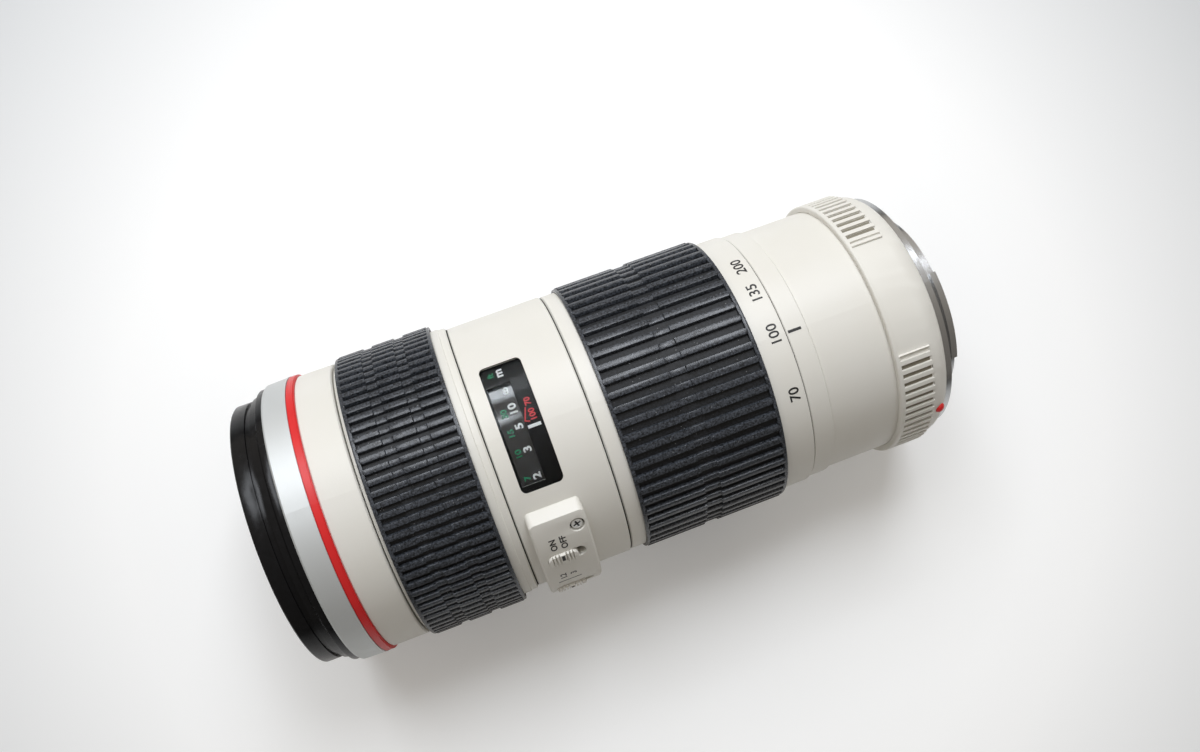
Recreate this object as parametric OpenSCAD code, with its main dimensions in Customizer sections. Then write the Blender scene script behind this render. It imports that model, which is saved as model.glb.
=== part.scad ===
// White telephoto zoom lens with internal zoom and focus.
// The optical axis runs along X: the front glass looks towards -X and the
// bayonet, at the origin, faces +X. The distance window is on top, at +Z.
// Pieces are drawn along a local Z axis, where z = 0 is the bayonet's seat
// and a clock angle of 0 is the top, and are then laid down by lay().

/* [Optical bore] */
// Radius of the bore in which the moving lens cells slide
guide_bore_r = 27.4; // [27:0.1:28]
// Wall of the slotted guide barrel
guide_wall = 1.2; // [0.8:0.1:1.8]
// Wall of the zoom cam barrel
cam_wall = 1.3; // [0.9:0.1:1.8]
// Wall of the backbone barrel that carries all the others
backbone_wall = 1.2; // [0.9:0.1:1.8]
// Wall of the distance scale drum
drum_wall = 1.5; // [1.1:0.1:2]

/* [Outer barrels] */
// Wall of the spigots on which the rubber-covered rings turn
spigot_wall = 1.2; // [0.9:0.1:1.8]
// Wall of the focus ring
focus_ring_wall = 1.6; // [1.2:0.1:2.2]
// Thickness of the focus ring's rubber
focus_grip_t = 2.06; // [1.6:0.02:2.6]
// Height of the front barrel above the spigots
front_lip = 2.1; // [1.8:0.1:2.6]
// Wall of the front barrel round the ring motor
front_wall = 1.9; // [1.6:0.1:2.1]
// Height of the silver name ring above the front barrel
name_ring_rise = 0.7; // [0.3:0.1:1.2]
// Wall of the middle barrel
mid_wall = 2.1; // [1.7:0.1:2.8]
// Height of the zoom ring's bearing above the backbone
zoom_bearing = 2.1; // [1.8:0.1:3]
// Wall of the zoom ring under its front rim
zoom_ring_wall = 1.65; // [1.3:0.05:2.2]
// Wall of the zoom ring under its focal length scale
zoom_scale_wall = 1.15; // [1:0.05:1.6]
// Thickness of the zoom ring's rubber
zoom_grip_t = 1.5; // [1.3:0.1:2]
// Depth of the recess that holds each rubber sleeve
grip_recess = 0.5; // [0.3:0.1:0.8]
// Height of the tripod collar's seat above the backbone
seat_rise = 2.2; // [1.8:0.1:3]
// Height of the step in front of the collar's seat
seat_step = 0.6; // [0.3:0.1:1]
// Height of the rear cover above the collar's seat
cover_rise = 1.6; // [1.3:0.1:2]
// Outer radius of the black filter ring's rim
front_rim_r = 34.7; // [34.3:0.1:36]
// Radius of the filter thread's bore
filter_bore_r = 33.1; // [32.4:0.1:33.6]
// Length of the filter thread, before the relief behind it
filter_thread_len = 5.2; // [4:0.1:5.6]

/* [Lengths] */
// Length of the black filter ring
filter_ring_len = 8.8; // [8:0.1:10]
// Length of the silver name ring
name_ring_len = 6.2; // [5:0.1:8]
// Length of the red ring
red_ring_len = 2; // [1.2:0.1:3]
// Length of the front barrel behind the red ring
front_barrel_len = 9.4; // [8.4:0.1:12]
// Length of the focus ring
focus_ring_len = 29.6; // [28.5:0.1:33]
// Length of the middle barrel
mid_len = 25.4; // [24.2:0.1:28]
// Length of the zoom ring
zoom_ring_len = 50.3; // [48.5:0.1:54]
// Length of the collar's seat
seat_len = 23.4; // [22:0.1:26]
// Length of the rear cover
cover_len = 14.2; // [13.4:0.1:16]
// Thickness of the bayonet's flange
flange_t = 1.5; // [1.2:0.1:2.2]
// Gap that shows as a dark seam beside each turning ring
seam = 0.3; // [0.2:0.05:0.5]
// White rim in front of the focus rubber
focus_front_rim = 0.9; // [0.5:0.1:2]
// White rim behind the focus rubber
focus_rear_rim = 3.9; // [3:0.1:5]
// White rim in front of the zoom rubber
zoom_front_rim = 3.9; // [3:0.1:5]
// Length of the focal length scale behind the zoom rubber
zoom_scale_len = 7.9; // [6.5:0.1:9]

/* [Rubber ribs] */
// Ribs round the focus rubber
focus_ribs = 88; // [70:1:100]
// Ribs round the zoom rubber
zoom_ribs = 63; // [50:1:76]
// Depth of the grooves in the rubber
rib_depth = 0.7; // [0.5:0.05:0.9]
// Depth of the notched band across the ribs
rib_notch = 0.4; // [0.2:0.05:0.5]
// Length of a notched band across the focus rubber
focus_notch_len = 2.7; // [1.5:0.1:4]
// Length of the notched band across the zoom rubber
zoom_notch_len = 4.2; // [2:0.1:6]
// Smooth rim at each end of the rubber
rib_rim = 1; // [0.5:0.1:1.8]

/* [Distance window and switches] */
// Length of the window along the lens
window_len = 10.5; // [9:0.1:12]
// Angle that the window spans
window_span = 52.6; // [46:0.2:54]
// Clock angle of the window's middle
window_clock = -2.7; // [-5:0.1:0]
// Setback of the window from the middle barrel's front
window_setback = 3.9; // [3.2:0.1:5]
// Thickness of the window's pane
window_t = 1; // [0.7:0.1:1.2]
// Length of the switch panel along the lens
panel_len = 13.9; // [12.5:0.1:15]
// Height of the switch panel above the barrel
panel_t = 3.2; // [2.6:0.1:3.6]
// Clock angle where the panel starts
panel_start = 31.4; // [30:0.1:36]
// Angle that the panel spans
panel_span = 69.6; // [68:0.2:76]
// Length of a slider knob
slider_len = 7.6; // [6:0.1:8]
// Width of a slider knob
slider_w = 3.5; // [2.8:0.1:4]
// Height of a slider knob above the panel
slider_h = 0.8; // [0.4:0.1:1.2]
// Travel of each slider
slider_travel = 2; // [1.4:0.1:2.4]

/* [Bayonet] */
// Radius of the bayonet's flange
flange_r = 32.5; // [31.6:0.1:33]
// Radius of the bayonet's claws
claw_r = 26.9; // [26.4:0.1:27.4]
// Radius of the bayonet's neck
neck_r = 25.4; // [25:0.1:25.8]
// Wall of the bayonet's neck
neck_wall = 1.6; // [1.2:0.1:2]
// Length of the bayonet's neck behind the flange
neck_len = 5.2; // [4.6:0.1:6]
// Thickness of a claw
claw_t = 1.6; // [1.2:0.1:2]
// Angle that each claw spans
claw_span = 51; // [40:1:60]
// Clock angle of the first claw's middle
claw_clock = 20; // [0:1:40]

/* [Motion] */
// Zoom cam lead of the variator, in mm per degree
variator_lead = 0.3; // [0.2:0.01:0.32]
// Zoom cam lead of the compensator, in mm per degree
compensator_lead = -0.1333; // [-0.15:0.001:-0.08]
// Focus cam lead, in mm of cell travel per degree of drum
focus_lead = 0.1667; // [0.1:0.001:0.18]
// Zoom ring turn from rest to the shortest focal length
zoom_wide_turn = -24; // [-30:1:-18]
// Zoom ring turn from rest to the longest focal length
zoom_tele_turn = 36; // [30:1:40]
// Drum turn from rest to the nearest distance
drum_near_turn = -36; // [-40:1:-30]
// Drum turn from rest to infinity
drum_far_turn = 18; // [12:1:24]
// Radius of the cam followers
follower_r = 1.5; // [1.1:0.1:1.9]

/* [Iris] */
// Blades in the iris
iris_blades = 8; // [6:1:8]
// Radius of the iris when it is open
iris_open_r = 13.8; // [12:0.1:14.4]
// Inset of the blade pivots from the drive ring's edge
iris_pivot_inset = 4.88; // [4.4:0.02:5.4]
// Thickness of a blade
blade_t = 0.15; // [0.1:0.01:0.18]
// Turn of the drive ring that closes the iris
iris_ring_turn = 20; // [14:1:24]
// Turn of a blade that closes the iris
blade_turn = 35; // [25:1:36]

/* [Clearances] */
// Radial clearance of a turning or sliding fit
run_gap = 0.08; // [0.05:0.01:0.12]
// Radial clearance of pieces that are fixed together
seat_gap = 0.04; // [0.02:0.01:0.08]
// Radial space between barrels that do not touch
barrel_gap = 0.4; // [0.3:0.05:0.6]

/* [Hidden] */
$fn = 96;
eps = 0.01;

// Radii, from the optical bore outwards
guide_r = guide_bore_r + guide_wall;
cam_in_r = guide_r + run_gap;
cam_r = cam_in_r + cam_wall;
backbone_in_r = cam_r + barrel_gap;
backbone_r = backbone_in_r + backbone_wall;
drum_in_r = backbone_r + run_gap;
drum_r = drum_in_r + drum_wall;
skin_in_r = drum_r + barrel_gap;
spigot_r = skin_in_r + spigot_wall;
focus_in_r = spigot_r + run_gap;
focus_ring_r = focus_in_r + focus_ring_wall;
focus_seat_r = focus_ring_r - grip_recess;
focus_grip_r = focus_seat_r + focus_grip_t;
front_barrel_r = spigot_r + front_lip;
name_ring_r = front_barrel_r + name_ring_rise;
mid_r = skin_in_r + mid_wall;
zoom_spigot_r = backbone_r + zoom_bearing;
zoom_in_r = zoom_spigot_r + run_gap;
zoom_ring_r = zoom_in_r + zoom_ring_wall;
zoom_scale_r = zoom_in_r + zoom_scale_wall;
zoom_seat_r = zoom_ring_r - grip_recess;
zoom_grip_r = zoom_seat_r + zoom_grip_t;
seat_r = backbone_r + seat_rise;
seat_step_r = seat_r + seat_step;
cover_r = seat_r + cover_rise;
tail_r = seat_r - 1.5;
motor_bore_r = front_barrel_r - front_wall;

// Stations along the lens, from the bayonet's seat forwards
cover_rear = -flange_t;
cover_front = cover_rear - cover_len;
seat_front = cover_front - seat_len;
zoom_rear = seat_front - seam;
zoom_front = zoom_rear - zoom_ring_len;
mid_rear = zoom_front - seam;
mid_front = mid_rear - mid_len;
focus_rear = mid_front - seam;
focus_front = focus_rear - focus_ring_len;
barrel_rear = focus_front - seam;
barrel_front = barrel_rear - front_barrel_len;
red_front = barrel_front - red_ring_len;
name_front = red_front - name_ring_len;
lens_front = name_front - filter_ring_len;

// Rubber sleeves between their rims
focus_grip_front = focus_front + focus_front_rim;
focus_grip_rear = focus_rear - focus_rear_rim;
zoom_grip_front = zoom_front + zoom_front_rim;
zoom_grip_rear = zoom_rear - zoom_scale_len;

// Fixed barrels: spigots and the webs that stand on the backbone
spigot_len = 3.4;
web_t = 4;
lip_t = 1.4;

// Distance window, the mask under it and the scale drum below both
window_front = mid_front + window_setback;
window_rear = window_front + window_len;
window_corner = 1.4;
pane_r = mid_r - 0.15;
mask_r = pane_r - window_t - 0.2;
mask_t = 0.6;
mask_view_front = window_front + 0.6;
mask_view_rear = window_front + 6.3;
mask_view_clocks = [window_clock - 18, window_clock + 24.4];
drum_rear = window_rear - 0.5;

// Moving groups at rest: middle stations and lengths
focus_cell_len = 11;
focus_cell_z = focus_front + 9.2;
variator_len = 14;
variator_z = mid_rear - 8;
compensator_len = 10;
compensator_setback = 24.6;
compensator_z = zoom_rear - compensator_setback;
cell_gap = 0.3;
cell_r = guide_bore_r - cell_gap;
focus_cell_r = backbone_in_r - cell_gap;
follower_clocks = [60, 180, 300];
follower_bite = 4;
slot_r = follower_r + run_gap;

// Lenses of the moving groups: radii, edge thickness, and spheres that bulge or, below zero, are hollow
lens_spare = 0.1;
focus_lens_r = 23;
focus_rear_lens_r = 22;
focus_waist_r = 20.5;
focus_lens_t = 3.2;
focus_spheres = [110, -150];
focus_rear_spheres = [0, -120];
variator_lens_r = 17;
variator_rear_lens_r = 16;
variator_waist_r = 14.5;
variator_lens_t = 4.2;
variator_spheres = [-90, -60];
variator_rear_spheres = [-70, 0];
compensator_lens_r = 16;
compensator_rear_r = 15;
compensator_waist_r = 14;
compensator_lens_t = 2.6;
compensator_spheres = [90, 0];

// Guide and cam barrels
guide_flange_t = 3;
guide_front = variator_z + variator_lead * zoom_wide_turn - variator_len / 2 - guide_flange_t - 1.6;
guide_rear = cover_front + 1;
cam_front = guide_front + guide_flange_t + barrel_gap;
cam_rear = compensator_z + compensator_lead * zoom_wide_turn + compensator_len / 2 + 4;
cam_stop_t = 2;

// Zoom key, which ties the zoom ring to the cam barrel
key_w = 5;
key_len = 4;
key_z = zoom_rear - 38;
key_clock = 120;
key_rise = 0.6;

// Iris, seated in the guide barrel behind the cam's stop
iris_front = cam_rear + cam_stop_t + 1.2;
iris_plate_t = 0.8;
iris_level = blade_t + 0.1;
iris_ring_t = 1;
iris_ring_z = iris_front + iris_plate_t + 0.2 + iris_blades * iris_level;
iris_len = iris_ring_z - iris_front + iris_ring_t + 0.2;
iris_wall = 1.4;
iris_r = guide_bore_r - seat_gap;
iris_ring_r = iris_r - iris_wall - run_gap;
iris_pivot_r = iris_ring_r - iris_pivot_inset;
iris_ring_in_r = iris_pivot_r - 1.6;
eyelet_r = 2;
blade_width = iris_pivot_r - iris_open_r - eyelet_r + 0.6;
blade_arc = 110;
stud_r = 0.6;
lever = 4;
drive_r = iris_pivot_r + 0.48 * (iris_ring_r - iris_pivot_r);
lever_angle = acos((drive_r * drive_r - iris_pivot_r * iris_pivot_r - lever * lever) / (2 * iris_pivot_r * lever));

// Relay group, fixed in the rear of the guide barrel
relay_front = iris_front + iris_len + 0.2;
relay_rear = guide_rear - 2;
relay_len = relay_rear - relay_front;
relay_lens_r = 14;
relay_lens_t = 2.4;
relay_lens_at = 3.4;
second_relay_t = 4;
second_relay_at = 8;
rear_lens_r = 15;
rear_lens_t = 4;
rear_lens_at = 3;
relay_spheres = [60, 0];
second_relay_spheres = [-80, 0];
rear_lens_spheres = [0, 70];

// Front group, held in the mouth of the backbone
front_cell_front = name_front - 1.4;
front_lens_r = backbone_in_r - 1.4;
front_lens_t = 3.2;
front_lens_z = front_cell_front + 5.6;
second_lens_t = 3;
front_lens_spheres = [82, 0];
second_lens_spheres = [0, -130];
front_cell_flange_t = 1.6;
front_cell_rear = barrel_rear - 3;
backbone_front = front_cell_front + front_cell_flange_t;
backbone_rear = cover_front + 4;
retainer_t = 3.4;

// Ring motor round the front of the backbone, and the rollers that halve the ring's turn
stator_len = 4.2;
rotor_len = 3.6;
stator_front = barrel_front - 3.4;
rotor_front = stator_front + stator_len + 0.1;
rotor_rear = rotor_front + rotor_len;
drum_front = rotor_rear + 0.3;
sleeve_r = drum_in_r + 1.26;
manual_ring_len = 3;
roller_z = (rotor_rear + focus_front) / 2;
roller_r = (focus_front - rotor_rear) / 2 - run_gap;
roller_clocks = [0, 120, 240];
axle_r = 0.6;

// Switch panel
panel_front = mid_front + (mid_len - panel_len) * 0.2;
panel_r = mid_r + panel_t;
panel_edge = 0.5;
panel_in_r = mid_r + seat_gap;
slider_flange = 0.6;
slider_clocks = [panel_start + 21.6, panel_start + 48.6];
slider_front = panel_front + 1.9;
slot_len = slider_len + slider_travel + 2 * run_gap;
screw_clocks = [panel_start + 8.8, panel_start + 61.4];
screw_setbacks = [panel_len - 2.6, 2.6];
screw_head_r = 1.6;
screw_sink_r = 1.9;
screw_sink = 1.1;
panel_slope = 52;

// Bayonet, contacts and rear baffle
neck_in_r = neck_r - neck_wall;
undercut_r = claw_r + 0.4;
undercut_t = 0.5;
mount_screw_r = (undercut_r + flange_r) / 2;
mount_screw_head_r = 1.5;
mount_screw_clocks = [55, 145, 235, 325];
baffle_r = neck_in_r - seat_gap;
baffle_rear = neck_len - 0.4;
baffle_in_r = 18.6;
contact_span = 62;
contact_count = 7;
contact_in_r = baffle_in_r + 1.2;
contact_rear = neck_len + 0.5;
pin_r = 0.8;
mount_lip_r = mount_screw_r - 3.4;
mount_lip_t = 2.6;
screw_shank_r = 0.9;
board_t = 1.2;

// Iris motor behind the drive ring: a fixed coil inside a magnet arc on the ring's rear rim
rim_wall = 1;
rim_len = 3;
magnet_t = 1.6;
magnet_gap = 0.3;
coil_t = 2.9;
coil_angle = 15;
motor_len = 8;
motor_clock = 30;
rim_r = iris_ring_r - 0.3;
rim_angle = iris_ring_turn + coil_angle + 13;
magnet_r = rim_r - rim_wall - seat_gap;
coil_r = magnet_r - magnet_t - magnet_gap;

// Red alignment dot on the cover's sloping shoulder
shoulder = [[0, -4.8], [-0.3, -3.1], [-0.9, -1.5]];
dot_r = 0.9;
dot_clock = 60.4;
dot_tilt = 20.6;

white = "ivory";
black = "#26262a";
metal = "silver";
glass = "lightblue";

// Lays a piece that is drawn along Z down along X, with its clock angle 0 on top
module lay() rotate([0, 90, 0]) rotate([0, 0, 180]) children();

module tube(outer, inner, front, rear) {
    translate([0, 0, front]) difference() {
        cylinder(r = outer, h = rear - front);
        translate([0, 0, -eps]) cylinder(r = inner, h = rear - front + 2 * eps);
    }
}

module disc(radius, front, rear) {
    translate([0, 0, front]) cylinder(r = radius, h = rear - front);
}

// Turned piece with a profile of [radius, station] points
module turned(profile) rotate_extrude() polygon(profile);

module round_each(clocks) for (a = clocks) rotate([0, 0, a]) children();

// Radial pin from one radius to another, at a clock angle of 0
module radial_pin(radius, from_r, to_r, z) {
    translate([from_r, 0, z]) rotate([0, 90, 0]) cylinder(r = radius, h = to_r - from_r);
}

// Straight slot with round ends, cut radially at a clock angle of 0
module straight_slot(half_w, from_r, to_r, z0, z1) {
    translate([from_r, -half_w, z0]) cube([to_r - from_r, 2 * half_w, z1 - z0]);
    for (z = [z0, z1]) radial_pin(half_w, from_r, to_r, z);
}

// Point of a helical slot's edge: side is +1 or -1, turn is the ring's turn from rest
function slot_point(turn, lead, radius, mid_r, half_w, side) =
    let (arc = mid_r * PI / 180, run = norm([arc, lead]),
         clock = -turn + side * half_w * lead / run / arc)
    [radius * cos(clock), radius * sin(clock), lead * turn + side * half_w * arc / run];

// Helical cam slot for a follower that rests at clock 0 and moves by lead per degree
module cam_slot(lead, turn0, turn1, half_w, from_r, to_r, z, steps = 10) {
    mid_r = (from_r + to_r) / 2;
    turns = [for (i = [0 : steps]) turn0 + (turn1 - turn0) * i / steps];
    points = [for (t = turns) each [
        slot_point(t, lead, from_r, mid_r, half_w, -1), slot_point(t, lead, to_r, mid_r, half_w, -1),
        slot_point(t, lead, to_r, mid_r, half_w, 1), slot_point(t, lead, from_r, mid_r, half_w, 1)]];
    sides = [for (i = [0 : steps - 1], k = [0 : 3])
        let (a = 4 * i + k, b = 4 * i + (k + 1) % 4)
        each [[a, b + 4, b], [a, a + 4, b + 4]]];
    last = 4 * steps;
    caps = [[0, 1, 2], [0, 2, 3], [last, last + 2, last + 1], [last, last + 3, last + 2]];
    translate([0, 0, z]) {
        polyhedron(points, concat(sides, caps));
        for (t = [turn0, turn1]) rotate([0, 0, -t]) radial_pin(half_w, from_r, to_r, lead * t);
    }
}

// Height of a spherical cap of the given sphere over a lens of the given radius
function sag(sphere_r, lens_r) = sphere_r == 0 ? 0 : abs(sphere_r) - sqrt(sphere_r * sphere_r - lens_r * lens_r);

// Lens element about z = 0: a positive sphere bulges outwards, a negative one is hollow
module element(lens_r, edge_t, spheres) {
    front_sphere = spheres[0];
    rear_sphere = spheres[1];
    front_sag = sag(front_sphere, lens_r);
    rear_sag = sag(rear_sphere, lens_r);
    front_top = -edge_t / 2 - (front_sphere > 0 ? front_sag : 0);
    rear_top = edge_t / 2 + (rear_sphere > 0 ? rear_sag : 0);
    difference() {
        intersection() {
            disc(lens_r, front_top, rear_top);
            if (front_sphere > 0) translate([0, 0, front_top + front_sphere]) sphere(r = front_sphere, $fn = 360);
            if (rear_sphere > 0) translate([0, 0, rear_top - rear_sphere]) sphere(r = rear_sphere, $fn = 360);
        }
        if (front_sphere < 0) translate([0, 0, -edge_t / 2 + front_sag + front_sphere])
            sphere(r = -front_sphere, $fn = 360);
        if (rear_sphere < 0) translate([0, 0, edge_t / 2 - rear_sag - rear_sphere])
            sphere(r = -rear_sphere, $fn = 360);
    }
}

// Outline of a ribbed sleeve: flat-topped ribs with sloping sides between narrow grooves
function rib_outline(ribs, top_r, groove_r) =
    let (pitch = 360 / ribs)
    [for (k = [0 : ribs - 1], p = [[-0.3, top_r], [0.22, top_r], [0.36, groove_r], [0.56, groove_r]])
        p[1] * [cos((k + p[0]) * pitch), sin((k + p[0]) * pitch)]];

module ribbed(ribs, top_r, groove_r, inner_r, front, rear) {
    difference() {
        translate([0, 0, front]) linear_extrude(height = rear - front) polygon(rib_outline(ribs, top_r, groove_r));
        disc(inner_r, front - eps, rear + eps);
    }
}

// Rubber sleeve: smooth rims, ribs, and lower ribs across each notched band
module rubber_sleeve(ribs, seat_r, top_r, front, rear, notches, notch_len) {
    inner_r = seat_r + seat_gap;
    groove_r = top_r - rib_depth;
    rim_r = top_r - rib_notch / 2;
    color(black) union() {
        tube(groove_r - 0.2, inner_r, front, rear);
        tube(rim_r, inner_r + 0.1, front, front + rib_rim);
        tube(rim_r, inner_r + 0.1, rear - rib_rim, rear);
        difference() {
            ribbed(ribs, top_r, groove_r, inner_r + 0.1, front + rib_rim / 2, rear - rib_rim / 2);
            for (z = notches) tube(top_r + 1, top_r - rib_notch, z - notch_len / 2, z + notch_len / 2);
        }
    }
}

// Front assembly

module filter_ring() {
    groove_r = front_rim_r - 0.7;
    tail_r = name_ring_r - 0.9;
    relief_r = filter_bore_r + 0.35;
    thread_end = lens_front + filter_thread_len;
    color(black) turned([
        [filter_bore_r, lens_front], [front_rim_r - 0.5, lens_front], [front_rim_r, lens_front + 0.5],
        [front_rim_r, lens_front + 3.6], [groove_r, lens_front + 3.6], [groove_r, lens_front + 5.2],
        [front_rim_r + 0.6, lens_front + 5.2], [front_rim_r + 0.6, lens_front + 6.6],
        [tail_r, name_front - 1.6], [tail_r, name_front], [backbone_r + seat_gap, name_front],
        [backbone_r + seat_gap, front_cell_front], [relief_r, front_cell_front],
        [relief_r, thread_end + 0.2], [filter_bore_r, thread_end]]);
}

module name_ring() {
    color(metal) turned([
        [front_barrel_r - 1.4, name_front], [name_ring_r - 0.6, name_front],
        [name_ring_r - 0.25, name_front + 0.4],
        [name_ring_r, red_front], [front_barrel_r - 1.4, red_front]]);
}

module red_ring() {
    line = 0.22;
    seat = front_barrel_r - 1.4 + seat_gap;
    color("red") turned([
        [seat, red_front], [name_ring_r - 0.45, red_front], [name_ring_r - 0.45, red_front + line],
        [name_ring_r - 0.1, red_front + line], [name_ring_r - 0.1, barrel_front - line],
        [name_ring_r - 0.45, barrel_front - line], [name_ring_r - 0.45, barrel_front], [seat, barrel_front]]);
}

module front_barrel() {
    core_r = front_barrel_r - 1.4 - seat_gap;
    color(white) turned([
        [backbone_r + seat_gap, name_front], [core_r, name_front], [core_r, barrel_front],
        [front_barrel_r - 0.3, barrel_front], [front_barrel_r, barrel_front + 0.3],
        [front_barrel_r, barrel_rear - 0.3], [front_barrel_r - 0.3, barrel_rear],
        [motor_bore_r, barrel_rear], [motor_bore_r, stator_front], [backbone_r + seat_gap, stator_front]]);
}

module front_cell() {
    second_r = front_lens_r - 0.6;
    color(black) difference() {
        union() {
            disc(backbone_r, front_cell_front, backbone_front);
            disc(backbone_in_r - seat_gap, front_cell_front, front_cell_rear);
        }
        disc(front_lens_r + seat_gap, front_cell_front - eps, front_lens_z + front_lens_t / 2 + seat_gap);
        disc(front_lens_r - 1.6, front_cell_front, front_cell_rear + eps);
        disc(second_r, front_cell_rear - 2 - second_lens_t, front_cell_rear + eps);
    }
}

module front_retainer() {
    color(black) turned([
        [front_lens_r, front_cell_front], [front_lens_r, front_cell_front + retainer_t],
        [front_lens_r - 1.2, front_cell_front + retainer_t], [front_lens_r - 2.2, front_cell_front]]);
}

module front_lenses() {
    color(glass) {
        translate([0, 0, front_lens_z]) element(front_lens_r, front_lens_t, front_lens_spheres);
        translate([0, 0, front_cell_rear - 2 - second_lens_t / 2 + seat_gap])
            element(front_lens_r - 0.6 - seat_gap, second_lens_t, second_lens_spheres);
    }
}

// Ring motor: the toothed stator stays still and presses on the rotor

module motor_stator() {
    teeth = 48;
    rim_r = motor_bore_r - seat_gap;
    color("goldenrod") difference() {
        tube(rim_r, backbone_r + seat_gap, stator_front + eps, stator_front + stator_len);
        round_each([for (k = [0 : teeth - 1]) k * 360 / teeth])
            translate([backbone_r - 1, -0.35, stator_front + stator_len - 1.8]) cube([rim_r, 0.7, 2.2]);
    }
}

module motor_rotor() {
    rim_r = motor_bore_r - 0.3;
    color(metal) turned([
        [backbone_r + seat_gap, rotor_front], [rim_r, rotor_front], [rim_r, rotor_rear],
        [backbone_r + seat_gap, rotor_rear]]);
}

// Backbone, guide and cam barrels

module backbone_barrel() {
    key_slot_w = key_len / 2 + 0.4;
    key_margin = (key_w / 2 + 0.6) / backbone_in_r * 180 / PI;
    color(black) difference() {
        tube(backbone_r, backbone_in_r, backbone_front, backbone_rear);
        round_each(follower_clocks) straight_slot(
            slot_r, backbone_in_r - 1, backbone_r + 1,
            focus_cell_z + focus_lead * drum_near_turn, focus_cell_z + focus_lead * drum_far_turn);
        rotate([0, 0, key_clock + zoom_wide_turn - key_margin])
            rotate_extrude(angle = zoom_tele_turn - zoom_wide_turn + 2 * key_margin)
                translate([backbone_in_r - 1, key_z - key_slot_w]) square([backbone_wall + 2, 2 * key_slot_w]);
    }
}

module guide_barrel() {
    color(black) difference() {
        union() {
            disc(guide_r, guide_front, guide_rear);
            disc(backbone_in_r - seat_gap, guide_front, guide_front + guide_flange_t);
        }
        disc(guide_bore_r, guide_front - eps, guide_rear + eps);
        round_each(follower_clocks) {
            straight_slot(slot_r, guide_bore_r - 1, guide_r + 1,
                variator_z + variator_lead * zoom_wide_turn, variator_z + variator_lead * zoom_tele_turn);
            straight_slot(slot_r, guide_bore_r - 1, guide_r + 1,
                compensator_z + compensator_lead * zoom_tele_turn,
                compensator_z + compensator_lead * zoom_wide_turn);
        }
    }
}

module cam_stop_ring() {
    color(metal) tube(backbone_in_r - seat_gap, guide_r + seat_gap, cam_rear + barrel_gap, cam_rear + cam_stop_t);
}

module cam_barrel() {
    color("gray") difference() {
        tube(cam_r, cam_in_r, cam_front, cam_rear);
        round_each(follower_clocks) {
            cam_slot(variator_lead, zoom_wide_turn, zoom_tele_turn, slot_r, cam_in_r - 1, cam_r + 1, variator_z);
            cam_slot(compensator_lead, zoom_wide_turn, zoom_tele_turn, slot_r, cam_in_r - 1, cam_r + 1,
                compensator_z);
        }
        rotate([0, 0, key_clock]) translate([cam_in_r - 1, -key_w / 2 - seat_gap, key_z - key_len / 2 - seat_gap])
            cube([cam_wall + 2, key_w + 2 * seat_gap, key_len + 2 * seat_gap]);
    }
}

// Focus ring, distance scale and focusing group

module focus_ring() {
    bevel = 0.4;
    color(white) turned([
        [focus_in_r, focus_front], [focus_ring_r - bevel, focus_front], [focus_ring_r, focus_front + bevel],
        [focus_ring_r, focus_grip_front], [focus_seat_r, focus_grip_front], [focus_seat_r, focus_grip_rear],
        [focus_ring_r, focus_grip_rear], [focus_ring_r, focus_grip_rear + 1.9],
        [focus_ring_r - 0.25, focus_grip_rear + 2.1], [focus_ring_r - 0.25, focus_rear - bevel],
        [focus_ring_r - 0.25 - bevel, focus_rear], [focus_in_r, focus_rear]]);
}

module focus_grip() {
    third = (focus_grip_rear - focus_grip_front) / 3;
    rubber_sleeve(focus_ribs, focus_seat_r, focus_grip_r, focus_grip_front, focus_grip_rear,
        [focus_grip_front + third, focus_grip_front + 2 * third], focus_notch_len);
}

// Ring fixed in the focus ring, whose front face drives the rollers
module manual_ring() {
    color(metal) tube(focus_in_r - seat_gap, sleeve_r + run_gap, focus_front, focus_front + manual_ring_len);
}

module scale_drum() {
    color("#3a3a40") difference() {
        union() {
            tube(sleeve_r, drum_in_r, drum_front, focus_front + manual_ring_len + 1);
            tube(drum_r, drum_in_r, focus_front + manual_ring_len + 0.3, drum_rear);
        }
        round_each(follower_clocks) cam_slot(
            focus_lead, drum_near_turn, drum_far_turn, slot_r, drum_in_r - 1, drum_r + 1, focus_cell_z);
        round_each(roller_clocks) radial_pin(axle_r + seat_gap, drum_in_r - 1, drum_r + 1, roller_z);
    }
}

// Rollers on radial axles: they roll between the rotor and the manual ring and carry the drum along
module drive_rollers() {
    color(metal) round_each(roller_clocks) {
        radial_pin(axle_r, drum_in_r + 0.1, sleeve_r + 0.2, roller_z);
        radial_pin(roller_r, sleeve_r + run_gap, motor_bore_r - 0.3, roller_z);
    }
}

// Lens cell with a front seat, a rear seat, a waist between and follower holes
module lens_cell(outer_r, z, length, front_r, rear_r, lens_t, waist_r) {
    seat_depth = lens_t + 2 * lens_spare;
    front = z - length / 2;
    rear = z + length / 2;
    color(black) difference() {
        disc(outer_r, front, rear);
        disc(waist_r, front - eps, rear + eps);
        disc(front_r + seat_gap, front - eps, front + seat_depth);
        disc(rear_r + seat_gap, rear - seat_depth, rear + eps);
        tube(outer_r - follower_bite - 0.8, max(front_r, rear_r) + 1.6, front - eps, front + length * 0.3);
        round_each(follower_clocks) radial_pin(follower_r + seat_gap, outer_r - follower_bite, outer_r + 1, z);
    }
}

module followers(outer_r, to_r, z) {
    color(metal) round_each(follower_clocks) radial_pin(follower_r, outer_r - follower_bite + seat_gap, to_r, z);
}

module focus_cell() lens_cell(focus_cell_r, focus_cell_z, focus_cell_len, focus_lens_r,
    focus_rear_lens_r, focus_lens_t, focus_waist_r);

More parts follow.
